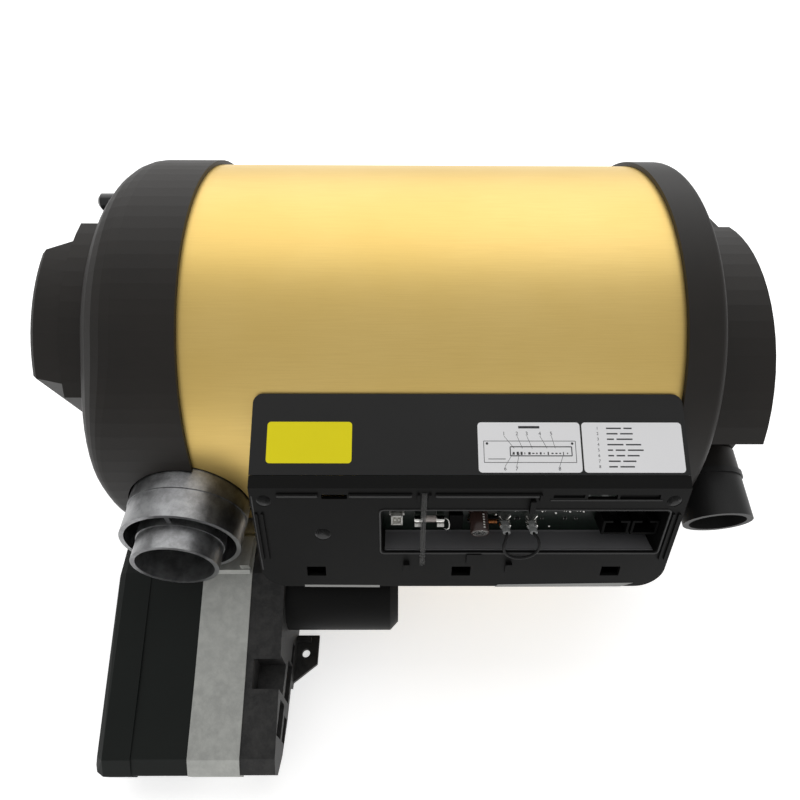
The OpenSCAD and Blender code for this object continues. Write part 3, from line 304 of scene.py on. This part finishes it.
NODE_FINISH = {
    "gold_jacket": "gold", "insulation_shell": "foam", "water_tank": "stainless", "heat_exchanger": "cast",
    "combustion_tube": "stainless", "left_cover": "cover", "fan_hood": "cover", "intake_grille": "cover",
    "inlet_ring": "black", "circulation_fan": "black", "fan_motor": "paint", "motor_bracket": "paint",
    "right_cover": "cover", "air_manifold": "cover", "warm_air_outlets": "black", "flue_connection": "flue",
    "cover_ring": "housing", "blower_housing": "housing", "blower_wheel": "cast", "burner_casting": "cast",
    "end_casting": "shade_painted_cast", "blower_motor": "tray", "front_foot": "shade_painted_cast", "glow_plug": "steel",
    "fuel_nipple": "brass", "box_lid": "box", "box_tray": "tray", "circuit_board": "board", "fuse": "glass",
    "fuse_clips": "tin", "window_strap": "clear", "choke": "copper", "capacitor": "sleeve_brown",
    "relay": "socket", "sensor_socket": "white",
    "power_tabs": "sleeve", "jumper_wire": "wire", "control_sockets": "socket", "reset_button": "red",
    "wire_clip": "clear", "water_nipples": "steel", "cold_water_cap": "rubber", "hot_water_cap": "rubber",
    "rear_feet": "steel", "fan_shaft": "steel", "wheel_shaft": "steel",
}


# Degrees up to which a CAD node's edges are shaded round: in general, and where a node needs another limit
SMOOTH_ANGLE = 24
SMOOTH_TO = {"left_cover": 31, "fan_hood": 20, "cover_ring": 35, "end_casting": 20, "burner_casting": 20}


def dress_nodes():
    """Gives every CAD node its finish and smooths its shading between sharp edges."""
    for name, obj in nodes.items():
        material = FINISHES[NODE_FINISH[name]]
        for slot in obj.material_slots:
            slot.material = material
        if not obj.material_slots:
            obj.data.materials.append(material)
        obj.data.shade_smooth()
        obj.data.set_sharp_from_angle(angle=math.radians(SMOOTH_TO.get(name, SMOOTH_ANGLE)))


def add_piece(name, mesh, finish, body="root", node=None, smooth=None):
    """Puts a mesh in the scene: its finish, its body and the CAD node that it replaces."""
    obj = bpy.data.objects.new(name, mesh)
    scene.collection.objects.link(obj)
    mesh.materials.append(FINISHES[finish])
    if smooth is not None:
        mesh.shade_smooth()
        mesh.set_sharp_from_angle(angle=math.radians(smooth))
    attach(obj, body)
    if node:
        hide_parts(*([node] if isinstance(node, str) else node))


def mesh_from(bm, name):
    """A mesh from a bmesh, its faces turned outward."""
    bmesh.ops.recalc_face_normals(bm, faces=bm.faces)
    mesh = bpy.data.meshes.new(name)
    bm.to_mesh(mesh)
    bm.free()
    return mesh


# Z along +X, for forms turned about the X axis
ALONG_X = Matrix.Rotation(math.radians(90), 4, "Y")
# The faces of the control box: X along the front edge, Y up the face and Z out of it
PLATE = Matrix.Translation((0, *BOX_EDGE)) @ Matrix.Rotation(PLATE_SLOPE, 4, "X")
LABEL = Matrix.Translation((0, *BOX_EDGE)) @ Matrix.Rotation(LABEL_SLOPE, 4, "X")
# Frames for an outline whose thickness runs along X: drawn in Y and Z, in Z and Y, and down a face and out of it
DRAWN_YZ = Matrix(((0, 0, 1, 0), (1, 0, 0, 0), (0, 1, 0, 0), (0, 0, 0, 1)))
DRAWN_ZY = Matrix(((0, 0, 1, 0), (0, 1, 0, 0), (1, 0, 0, 0), (0, 0, 0, 1)))
DRAWN_DOWN = Matrix(((0, 0, 1, 0), (-1, 0, 0, 0), (0, 1, 0, 0), (0, 0, 0, 1)))


def on_face(matrix, x, y, z=0.0):
    """A place on a sloping face, in millimetres: along X, up the face and out of it."""
    return matrix @ Matrix.Translation((x * MM, y * MM, z * MM))


def lathe(bm, profile, turns=96, matrix=None, closed=False):
    """Turns a profile of (radius, height) points in millimetres about Z into a bmesh."""
    rings = []
    for i in range(turns):
        a = 2 * math.pi * i / turns
        rings.append([bm.verts.new((r * MM * math.cos(a), r * MM * math.sin(a), h * MM)) for r, h in profile])
    steps = len(profile) if closed else len(profile) - 1
    for i in range(turns):
        here, there = rings[i], rings[(i + 1) % turns]
        for j in range(steps):
            k = (j + 1) % len(profile)
            bm.faces.new((here[j], here[k], there[k], there[j]))
    made = [v for ring in rings for v in ring]
    if matrix is not None:
        bmesh.ops.transform(bm, matrix=matrix, verts=made)
    if not closed and 0 in (profile[0][0], profile[-1][0]):
        bmesh.ops.remove_doubles(bm, verts=made, dist=1e-7)


def arc(cx, cy, r, a0, a1, steps=6):
    """Points of a quarter round or other arc in a profile."""
    turn = [math.radians(a0 + (a1 - a0) * i / steps) for i in range(steps + 1)]
    return [(cx + r * math.cos(a), cy + r * math.sin(a)) for a in turn]


def rounded_outline(w, h, r, steps=5):
    """Corner points of a rounded rectangle round the origin."""
    points = []
    for turn, (x, y) in enumerate(((1, 1), (-1, 1), (-1, -1), (1, -1))):
        points += arc(x * (w / 2 - r), y * (h / 2 - r), r, turn * 90, turn * 90 + 90, steps)
    return points


def slab(bm, outline, z0, z1, matrix=None, edge=0.0):
    """A flat plate of an outline between two heights in millimetres, its top edge eased."""
    levels = [(z0, 0.0), (z1 - edge, 0.0), (z1, edge)] if edge else [(z0, 0.0), (z1, 0.0)]
    cx = sum(p[0] for p in outline) / len(outline)
    cy = sum(p[1] for p in outline) / len(outline)
    rings = []
    for z, inset in levels:
        ring = []
        for x, y in outline:
            d = math.hypot(x - cx, y - cy) or 1
            k = 1 - inset / d
            ring.append(bm.verts.new(((cx + (x - cx) * k) * MM, (cy + (y - cy) * k) * MM, z * MM)))
        rings.append(ring)
    n = len(outline)
    bm.faces.new(rings[0][::-1])
    bm.faces.new(rings[-1])
    for low, high in zip(rings, rings[1:]):
        for i in range(n):
            bm.faces.new((low[i], low[(i + 1) % n], high[(i + 1) % n], high[i]))
    made = [v for ring in rings for v in ring]
    if matrix is not None:
        bmesh.ops.transform(bm, matrix=matrix, verts=made)


def bar(bm, x0, x1, y0, y1, z0, z1, matrix=None):
    """A box between two corners in millimetres."""
    slab(bm, [(x0, y0), (x1, y0), (x1, y1), (x0, y1)], z0, z1, matrix)


def sweep(bm, points, radius, sides=10, matrix=None):
    """A round wire along points in millimetres."""
    pts = [Vector(p) * MM for p in points]
    rings = []
    normal = None
    for i, p in enumerate(pts):
        way = (pts[min(i + 1, len(pts) - 1)] - pts[max(i - 1, 0)]).normalized()
        if normal is None:
            normal = way.orthogonal().normalized()
        normal = (normal - way * normal.dot(way)).normalized()
        side = way.cross(normal)
        rings.append([bm.verts.new(p + (normal * math.cos(a) + side * math.sin(a)) * radius * MM)
                      for a in (2 * math.pi * k / sides for k in range(sides))])
    for low, high in zip(rings, rings[1:]):
        for k in range(sides):
            bm.faces.new((low[k], low[(k + 1) % sides], high[(k + 1) % sides], high[k]))
    bm.faces.new(rings[0][::-1])
    bm.faces.new(rings[-1])
    made = [v for ring in rings for v in ring]
    if matrix is not None:
        bmesh.ops.transform(bm, matrix=matrix, verts=made)


def digits(bm, text, size, matrix):
    """Plain numbers as flat shapes."""
    curve = bpy.data.curves.new("digits", "FONT")
    curve.body = text
    curve.size = size * MM
    curve.align_x = "CENTER"
    curve.align_y = "CENTER"
    curve.extrude = 0.03 * MM
    curve.resolution_u = 3
    obj = bpy.data.objects.new("digits", curve)
    scene.collection.objects.link(obj)
    bpy.context.view_layer.update()
    mesh = bpy.data.meshes.new_from_object(obj)
    mesh.transform(matrix)
    bm.from_mesh(mesh)
    bpy.data.objects.remove(obj)
    bpy.data.curves.remove(curve)


# Heights of a sticker's film and of the ink on it over the label face, in millimetres
FILM = 0.2
INK = 0.23


def make_sticker(name, x0, x1, u0, u1, finish, radius=2.2):
    """A printed film on the label face."""
    bm = bmesh.new()
    middle = on_face(LABEL, (x0 + x1) / 2, (u0 + u1) / 2)
    slab(bm, rounded_outline(x1 - x0, u1 - u0, radius), 0.01, FILM, middle, 0.05)
    add_piece(name, mesh_from(bm, name), finish)


def ink_line(bm, a, b, width, matrix):
    """One printed line between two points, in millimetres."""
    a, b = Vector((*a, 0)), Vector((*b, 0))
    way = (b - a).normalized()
    side = Vector((-way.y, way.x, 0)) * width / 2
    corners = [a - side, b - side, b + side, a + side]
    slab(bm, [(c.x, c.y) for c in corners], FILM, INK, matrix)


def frame_lines(bm, x0, x1, y0, y1, width, matrix):
    """A printed rectangle."""
    for a, b in (((x0, y0), (x1, y0)), ((x1, y0), (x1, y1)), ((x1, y1), (x0, y1)), ((x0, y1), (x0, y0))):
        ink_line(bm, a, b, width, matrix)


def make_stickers():
    """A plain yellow film and two white ones: a generic wiring sketch and a numbered list of plain bars."""
    make_sticker("yellow_sticker", -78.6, -26.8, 14.9, 40.2, "yellow")
    make_sticker("drawing_sticker", 50.0, 112.8, 9.4, 40.0, "film")
    make_sticker("list_sticker", 113.9, 175.4, 9.4, 40.0, "film")
    bm = bmesh.new()
    frame_lines(bm, 53.5, 109.5, 15.5, 28.5, 0.35, LABEL)
    frame_lines(bm, 69.5, 107, 19.5, 25, 0.6, LABEL)
    for x in (55.5, 107.5):
        turns = [k * math.pi / 4 for k in range(8)]
        slab(bm, [(x + 0.8 * math.cos(a), 27 + 0.8 * math.sin(a)) for a in turns], FILM, INK, LABEL)
    # Each number's place, and the end of its pointing line: five over the sketch and three under it
    over, under = 33, 11.7
    numbers = [(66, over, 72), (74, over, 77), (80, over, 83), (88, over, 92), (95, over, 97),
               (66, under, 71), (73, under, 75), (99, under, 102)]
    for k, (x, u, to) in enumerate(numbers):
        start, end = (u - 1.4, 24) if u == over else (u + 1.4, 21)
        ink_line(bm, (x, start), (to, end), 0.22, LABEL)
        digits(bm, str(k + 1), 3.2, on_face(LABEL, x, u, 0.22))
    rng = random.Random(5)
    for k in range(15):
        x = 71 + k * 2.35
        ink_line(bm, (x, 21), (x + 0.5 + rng.random(), 21), 0.5 + rng.random() * 1.5, LABEL)
    for x0, x1 in ((56, 60), (61.5, 66.5), (57, 63)):
        ink_line(bm, (x0, 17.6), (x1, 17.6), 0.4, LABEL)
    ink_line(bm, (75, 37), (88, 37), 1.5, LABEL)
    add_piece("drawing_sticker_print", mesh_from(bm, "drawing_print"), "ink")
    bm = bmesh.new()
    for k in range(8):
        u = 36.4 - k * 3.35
        digits(bm, str(k + 1), 2.5, on_face(LABEL, 123.5, u, 0.22))
        x = 129
        for _ in range(rng.randint(2, 4)):
            w = 3 + rng.random() * 7
            ink_line(bm, (x, u), (x + w, u), 0.85, LABEL)
            x += w + 1.6
    add_piece("list_sticker_print", mesh_from(bm, "list_print"), "ink")


# The parts' line on the circuit board, down from the front edge, and the board's depth, in millimetres
PART_T = 40.0
BOARD = 19.5
# How far down the connection face the terminal window begins and ends, and its ends along X
WINDOW_TOP, WINDOW_FOOT = 18.0, 54.0
WINDOW_X0, WINDOW_X1 = -9.0, 169.0


def on_board(x, dt=0.0, out=0.0):
    """A place on the circuit board: along X, further down the face and out of the board, in millimetres."""
    return on_face(PLATE, x, -PART_T - dt, out - BOARD)


def make_fuse():
    """Glass fuse: a tube with a wire in it and two rounded metal ends."""
    line = on_board(11.8, -2.7, 6.5) @ ALONG_X
    tube = bmesh.new()
    lathe(tube, [(1.9, 4.5), (2.2, 4.5), (2.2, 15.5), (1.9, 15.5)], 32, line, closed=True)
    add_piece("fuse_glass", mesh_from(tube, "fuse_glass"), "glass", node="fuse", smooth=40)
    ends = bmesh.new()
    cap = [(0, 0), (1.6, 0), (2.3, 0.3), (2.6, 0.9), (2.6, 5.0), (2.45, 5.5), (2.22, 5.5), (2.2, 4.4), (0, 4.4)]
    for a, way in ((0.0, 1), (20.0, -1)):
        lathe(ends, [(r, a + h * way) for r, h in cap], 32, line)
    wire = [(0.35 * math.sin(k * 0.9), 0.35 * math.cos(k * 0.7), 4.4 + k * 0.8) for k in range(15)]
    sweep(ends, wire, 0.16, 6, line)
    add_piece("fuse_ends", mesh_from(ends, "fuse_ends"), "tin", node="fuse", smooth=35)


def make_fuse_clips():
    """Two spring clips that grip the fuse, and the wire link that stands up at the right one."""
    bm = bmesh.new()
    for x in (12.3, 26.8):
        place = on_board(x, -2.7)
        outer = [(-3.4, 0.0), (-3.5, 3.2)] + arc(0, 6.5, 3.1, 200, 152, 6) + [(-2.1, 9.3), (-3.5, 10.6)]
        inner = [(-3.0, 10.8), (-1.7, 9.1)] + arc(0, 6.5, 2.65, 150, 200, 6) + [(-2.9, 3.2), (-2.8, 0.6)]
        half = outer + inner
        for mirror in (1, -1):
            slab(bm, [(px * mirror, pz) for px, pz in half], 0, 4.5, place @ DRAWN_YZ)
        bar(bm, 0, 4.5, -3.4, 3.4, 0.05, 0.7, place)
    arch = [(32.4, -36.6, -12.6), (33.4, -36.4, -12.0), (34.4, -37.4, -11.2), (34.9, -39.4, -9.9), (34.6, -41.6, -9.0),
            (33.3, -43.2, -9.2), (31.6, -43.4, -10.6), (30.6, -42.6, -13.5), (30.4, -41.8, -19.3)]
    sweep(bm, arch, 0.42, 8, PLATE)
    add_piece("fuse_clip_springs", mesh_from(bm, "fuse_clip_springs"), "tin", node="fuse_clips", smooth=40)


def make_choke():
    """Ferrite rod wound with enamelled copper wire, on its two wire legs."""
    place = on_board(47.5, 3.0, 3.0)
    rod = bmesh.new()
    lathe(rod, [(0, 0), (0.8, 0), (0.9, 0.2), (0.9, 21.3), (0.8, 21.5), (0, 21.5)], 24, place @ ALONG_X)
    add_piece("choke_rod", mesh_from(rod, "choke_rod"), "black", node="choke", smooth=40)
    coil = bmesh.new()
    turns, per = 19, 12
    line = [(0.6, -0.4, -2.9), (0.6, -0.3, -2.2), (0.6, -0.2, -1.4)]
    for k in range(turns * per + 1):
        a = 2 * math.pi * k / per - math.pi / 2
        line.append((2.0 + 17.5 * k / (turns * per), 1.3 * math.cos(a), 1.3 * math.sin(a)))
    line += [(20.9, -0.2, -1.4), (20.9, -0.3, -2.2), (20.9, -0.4, -2.9)]
    sweep(coil, line, 0.42, 8, place)
    add_piece("choke_winding", mesh_from(coil, "choke_winding"), "copper", node="choke", smooth=60)


def make_capacitor():
    """Capacitor bent down a little on its legs: a shrunk sleeve with a pale stripe, and its scored metal top."""
    place = on_board(53.5, -8.0, 3.6) @ Matrix.Rotation(math.radians(24), 4, "X") @ Matrix.Scale(1.2, 4)

    def piece(bm, name, finish, smooth=None):
        add_piece(name, mesh_from(bm, name), finish, node="capacitor", smooth=smooth)

    body = bmesh.new()
    crimp = [(5.2 - 0.62 * math.cos(a), 2.5 + 0.6 * math.sin(a)) for a in map(math.radians, (-60, -30, 0, 30, 60))]
    profile = [(0, 0.1), (4.6, 0.1), (5, 0.5), (5, 1.9)] + crimp
    profile += [(5, 3.1), (5, 12.8), (4.8, 13.3), (4.2, 13.45), (4.0, 13.2)]
    lathe(body, profile, 48, place)
    piece(body, "capacitor_sleeve", "sleeve_brown", 40)
    top = bmesh.new()
    lathe(top, [(4.05, 12.9), (4.0, 13.25), (0, 13.25)], 48, place)
    piece(top, "capacitor_top", "tin")
    legs = bmesh.new()
    for x in (-1.3, 1.3):
        sweep(legs, [(x, 0, 0.3), (x, 0.2, -0.8), (x, 1.8, -4.6)], 0.25, 8, place)
    piece(legs, "capacitor_legs", "tin")
    score = bmesh.new()
    for turn in (0, 60, 120):
        bar(score, -3.4, 3.4, -0.14, 0.14, 13.2, 13.3, place @ Matrix.Rotation(math.radians(turn), 4, "Z"))
    piece(score, "capacitor_score", "black")
    stripe = bmesh.new()
    for k in range(6):
        outer = [(5.03 * math.cos(a), 5.03 * math.sin(a)) for a in map(math.radians, (60 + k * 0.1, 72 + k * 0.1))]
        inner = [(4.9 * math.cos(a), 4.9 * math.sin(a)) for a in map(math.radians, (72, 60))]
        slab(stripe, outer + inner, 4.2 + k * 1.4, 4.9 + k * 1.4, place)
    piece(stripe, "capacitor_stripe", "white")


def make_sensor_socket():
    """White two-pin socket with its latch wings and pins."""
    place = on_board(-3)
    bm = bmesh.new()
    # Four walls, the floor between them and the latch wing
    for x0, x1, y0, y1, height in ((0, 7.5, -2, -0.9, 7.5), (0, 7.5, 4.9, 6, 7.5), (0, 1.1, -2, 6, 7.5),
                                   (6.4, 7.5, -2, 6, 7.5), (0, 7.5, -2, 6, 3.6), (-1.2, 8.7, 4.2, 6, 5)):
        slab(bm, [(x0, y0), (x1, y0), (x1, y1), (x0, y1)], 0.05, height, place, 0.15)
    add_piece("sensor_socket_body", mesh_from(bm, "sensor_socket_body"), "white", node="sensor_socket")
    pins = bmesh.new()
    for x in (2.5, 5.0):
        sweep(pins, [(x, 2, 3.4), (x, 2, 7)], 0.4, 8, place)
    add_piece("sensor_socket_pins", mesh_from(pins, "sensor_socket_pins"), "tin", node="sensor_socket")


def make_power_tabs():
    """Two spade tabs, each with a crimped receptacle, its clear sleeve and the wire's crimp."""
    metal, sleeve = bmesh.new(), bmesh.new()
    for x in (71.15, 88.65):
        place = on_board(x, 0.8)
        bar(metal, -3.1, 3.1, -0.4, 0.4, 0.05, 8.8, place)
        # Rolled edges of the receptacle
        for side in (1, -1):
            roll = [(side * (2.7 + 0.9 * math.cos(a)), 0.7 + 0.9 * math.sin(a))
                    for a in map(math.radians, (-40, 0, 45, 90, 140, 180))]
            slab(metal, [(side * 3.3, -0.6), *roll, (side * 1.2, 0.5), (side * 1.2, -0.6)], 4.2, 10.2, place)
        # Wings of the crimp, spread in a V behind the sleeve
        for side in (1, -1):
            slab(metal, [(side * 0.6, 0.4), (side * 1.0, 0.4), (side * 3.9, 5.4), (side * 3.3, 5.8)], 3.6, 6.2, place)
        turns = [2 * math.pi * k / 20 + 0.05 for k in range(20)]
        shell = [(math.cos(a) * 2.9 + math.copysign(0.3, math.cos(a)), math.sin(a) * 2.0) for a in turns]
        slab(sleeve, shell, 6.6, 11.5, place, 0.25)
        slab(sleeve, [(px * 0.78, py * 0.9) for px, py in shell], 11.4, 15.8, place, 0.35)
    add_piece("spade_terminals", mesh_from(metal, "spade_terminals"), "tin", node="power_tabs", smooth=35)
    add_piece("terminal_sleeves", mesh_from(sleeve, "terminal_sleeves"), "sleeve",
              node="power_tabs", smooth=50)


# Route of the jumper wire, as in the part's source: along X, up the connection face and out of it
JUMPER = [(71.15, -40.8, -4.0), (71.15, -40.8, -3.0), (70.5, -42, -0.9), (69.6, -43.8, 0.6), (68.9, -46.3, 1.6),
          (69.2, -49.5, 2.2), (70.8, -52.6, 2.5), (73.6, -55, 2.6), (77.5, -56.4, 2.6), (81.2, -56.5, 2.6),
          (85.2, -55.4, 2.6), (88.6, -53, 2.6), (91, -49.6, 2.3), (91.6, -46.2, 1.7), (91.1, -43.6, 0.6),
          (90.1, -41.8, -0.9), (88.65, -40.8, -3.0), (88.65, -40.8, -4.0)]
# The wire's radius in millimetres
WIRE_R = 0.95


def make_jumper_wire():
    """The short insulated wire from one supply tab to the other."""
    curve = bpy.data.curves.new("jumper_cord", "CURVE")
    curve.dimensions = "3D"
    curve.bevel_depth = WIRE_R * MM
    curve.bevel_resolution = 5
    curve.resolution_u = 6
    spline = curve.splines.new("BEZIER")
    spline.bezier_points.add(len(JUMPER) - 1)
    places = [PLATE @ (Vector(p) * MM) for p in JUMPER]
    for point, place in zip(spline.bezier_points, places):
        point.co = place
        point.handle_left_type = point.handle_right_type = "AUTO"
    curve.materials.append(FINISHES["wire"])
    obj = bpy.data.objects.new("jumper_cord", curve)
    scene.collection.objects.link(obj)
    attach(obj, "root")
    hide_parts("jumper_wire")


def make_strap():
    """Milky strap over the window, turned in at its top and its foot, with a raised rib."""
    bm = bmesh.new()
    place = PLATE @ DRAWN_DOWN
    rise = [(3.6, -0.4), (4.2, 1.7), (6.2, 2.1), (9.5, 1.4), (30, 0.95), (52, 0.95), (62, 1.0), (65.4, 0.7), (66, -0.4)]
    under = [(t, max(z - 0.75, -1.6)) for t, z in reversed(rise)]
    slab(bm, rise + under, 15.6, 18.9, place)
    rib = [(4.4, 1.9), (6.2, 2.4), (30, 1.3), (62, 1.3), (62, 0.8), (30, 0.8), (6.2, 1.6)]
    slab(bm, rib, 16.8, 17.7, place)
    add_piece("window_strap_moulding", mesh_from(bm, "window_strap_moulding"), "clear",
              node="window_strap")


def make_board_parts():
    """Small parts and solder on the circuit board, seen in the window and in the slot over it."""
    rng = random.Random(11)
    chips, ends, pads = bmesh.new(), bmesh.new(), bmesh.new()
    spots = [(x, t) for x in (80, 98, 112, 121) for t in (36, 43)]
    for x, t in spots:
        x += rng.uniform(-1.2, 1.2)
        w, h = rng.choice(((2.0, 1.2), (3.2, 1.6), (1.6, 1.0)))
        place = on_board(x, t - PART_T)
        bar(chips, -w / 2 + 0.3, w / 2 - 0.3, -h / 2, h / 2, 0.02, 0.7, place)
        for side in (-1, 1):
            bar(ends, side * w / 2 - 0.3, side * w / 2 + 0.3, -h / 2, h / 2, 0.02, 0.75, place)
    for _ in range(6):
        x = rng.choice((rng.uniform(20, 45), rng.uniform(56, 68), rng.uniform(93, 130)))
        lathe(pads, [(0.9, 0.02), (0.6, 0.35), (0, 0.6)], 10, on_board(x, rng.uniform(-5, 11)))
    for k in range(4):
        lathe(pads, [(1.0, 0.02), (0.7, 0.4), (0, 0.7)], 10, on_board(97 + k * 9.2, rng.uniform(-3, 0)))
    add_piece("board_chips", mesh_from(chips, "board_chips"), "black")
    add_piece("board_chip_ends", mesh_from(ends, "board_chip_ends"), "tin")
    add_piece("board_solder", mesh_from(pads, "board_solder"), "tin", smooth=50)


def make_sill():
    """The lower wall of the terminal window, from the face down to the circuit board, in a pale grey that is painted
    light: the light from above that falls on the tray's dark plastic.
    """
    bm = bmesh.new()
    # The profile lies just over the window's foot, and the wall ends 2 mm short of the window at both ends
    profile = [(-18.8, -53.2), (-17.5, -53.6), (-3.0, -53.6), (-1.6, -53.3), (-1.6, -53.95), (-18.8, -53.95)]
    slab(bm, profile, WINDOW_X0 + 2, WINDOW_X1 - 2, PLATE @ DRAWN_ZY)
    add_piece("window_sill_painted_light", mesh_from(bm, "window_sill_painted_light"), "sill")


def make_tray_details():
    """On the connection face: its three conical wells and its raised beads, both lighter than the tray as a painted
    glint and a painted highlight, and the pale strips on its lower edge.
    """
    wells = bmesh.new()
    # The wells' conical liners: lighter than the tray's plastic, a painted glint on their lower walls
    for x, t, r, depth in ((-80.2, 10, 4.45, 11.9), (169.7, 10, 4.45, 11.9), (-46, 38, 4.95, 9.9)):
        cone = [(r, 0), (r, depth - 0.5), (r - 0.2, depth - 0.7), (0.5, 0.8), (0, 0.8)]
        lathe(wells, cone, 48, on_face(PLATE, x, -t, -depth))
    add_piece("tray_wells", mesh_from(wells, "tray_wells"), "well", smooth=35)
    # One bead round the window, three at the top edge, one at the left end and one beside the top edge's right part;
    # their lighter plastic paints a highlight on the tray's edges
    beads = bmesh.new()
    margin = 1.6
    mid_x, mid_t = (WINDOW_X0 + WINDOW_X1) / 2, (WINDOW_TOP + WINDOW_FOOT) / 2
    ring = rounded_outline(WINDOW_X1 - WINDOW_X0 + margin, WINDOW_FOOT - WINDOW_TOP + margin, 2.5)
    around = [(mid_x + x, y - mid_t, 0.1) for x, y in ring]
    sweep(beads, around + around[:1], 0.6, 8, PLATE)
    for x0, x1, t in ((-71.5, -47.5, 5.5), (-28, 9.5, 5.5), (24.5, 86.5, 5.5)):
        sweep(beads, [(x0, -t, 0.8), (x0 + 0.8, -t, 1.2), (x1 - 0.8, -t, 1.2), (x1, -t, 0.8)], 0.7, 8, PLATE)
    sweep(beads, [(-87.2, -6, -0.1), (-87.2, -70, -0.1)], 0.5, 8, PLATE)
    sweep(beads, [(94, -9.2, 0.1), (162, -9.2, 0.1)], 0.5, 8, PLATE)
    add_piece("tray_beads", mesh_from(beads, "tray_beads"), "bead", smooth=60)
    strips = bmesh.new()
    slab(strips, [(-61, -84.9), (-10.7, -85.4), (-10.7, -87.4), (-61, -86.9)], 0.03, 0.2, PLATE)
    slab(strips, [(67, -87.1), (69, -84.9), (160, -83.2), (152, -86.8)], 0.03, 0.2, PLATE)
    add_piece("tray_edge_strips", mesh_from(strips, "tray_edge_strips"), "foil")


def make_casting_plate():
    """The plate over the burner casting's front slope, which closes the pocket there."""
    bm = bmesh.new()
    outline = [(-244.6, -87.6), (-182.6, -59.0), (-182.9, -58.25), (-244.9, -86.85)]
    slab(bm, outline, -141.2, -106.3, Matrix.Translation((0, AXIS_Y, AXIS_Z)) @ DRAWN_YZ, 0.2)
    add_piece("casting_plate", mesh_from(bm, "casting_plate"), "cast")


# The manifold's domed end, as in the part's source: its height in millimetres, its share of the right cover's
# radius and its curve's power, and how far the patches' two sides lie under it
DOME = 13.5
DOME_REACH = 1.05
DOME_POWER = 2.4
PATCH_DEPTHS = (0.25, 1.8)


def make_manifold_patches():
    """Close the manifold's domed end where the bores of the outlets come through it, just under its surface."""
    bm = bmesh.new()
    reach = COVER_R / MM * DOME_REACH
    edge_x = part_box("air_manifold")[1].x / MM - DOME
    for y0, y1, z0, z1 in ((42, 54, 70, 94), (78, 85.8, -2, 22), (70, 85.8, -64, -41), (-110.2, -93, -21, 5)):
        rings = []
        for depth in PATCH_DEPTHS:
            for i in range(5):
                y = y0 + (y1 - y0) * i / 4
                row = []
                for k in range(5):
                    z = z0 + (z1 - z0) * k / 4
                    x = edge_x + DOME * (1 - (math.hypot(y, z) / reach) ** DOME_POWER) - depth
                    row.append(bm.verts.new((x * MM, AXIS_Y + y * MM, AXIS_Z + z * MM)))
                rings.append(row)
        for side in (rings[:5], rings[5:]):
            for i in range(4):
                for k in range(4):
                    bm.faces.new((side[i][k], side[i + 1][k], side[i + 1][k + 1], side[i][k + 1]))
        for i in range(4):
            for k in (0, 4):
                bm.faces.new((rings[i][k], rings[i + 1][k], rings[i + 6][k], rings[i + 5][k]))
                bm.faces.new((rings[k][i], rings[k][i + 1], rings[k + 5][i + 1], rings[k + 5][i]))
    add_piece("manifold_patches", mesh_from(bm, "manifold_patches"), "cover", smooth=40)


def make_stage():
    """A pale floor that keeps the object's shadow."""
    mesh = bpy.data.meshes.new("floor")
    half = FLOOR_HALF
    mesh.from_pydata([(-half, -half, 0), (half, -half, 0), (half, half, 0), (-half, half, 0)], [], [(0, 1, 2, 3)])
    floor = bpy.data.objects.new("floor", mesh)
    scene.collection.objects.link(floor)
    f = Finish("floor")
    path = f.tree.nodes.new("ShaderNodeLightPath")
    camera, glossy, through = (Val(f, path.outputs[f"Is {ray} Ray"]) for ray in ("Camera", "Glossy", "Transmission"))
    seen = (camera + glossy + through).band(0, 1)
    f.set(Base_Color=FLOOR_COLOR, Roughness=0.9, Emission_Color=f.mix(seen, (0, 0, 0), FLOOR_GLOW),
          Emission_Strength=1.0)
    floor.data.materials.append(f.material)


def make_light():
    """Even surroundings and one wide soft lamp over the back."""
    world = bpy.data.worlds.new("studio")
    scene.world = world
    world.use_nodes = True
    back = world.node_tree.nodes["Background"]
    back.inputs["Color"].default_value = (1, 1, 1, 1)
    back.inputs["Strength"].default_value = WORLD_STRENGTH
    area_lamp("back", LAMP_PLACE, LAMP_TARGET, LAMP_SIZE, LAMP_WATTS)


make_camera()
make_jumper_wire()
dress_nodes()
make_stickers()
make_fuse()
make_fuse_clips()
make_choke()
make_capacitor()
make_sensor_socket()
make_power_tabs()
make_strap()
make_board_parts()
make_sill()
make_tray_details()
make_casting_plate()
make_manifold_patches()
make_stage()
make_light()
scene.view_settings.view_transform = "Standard"
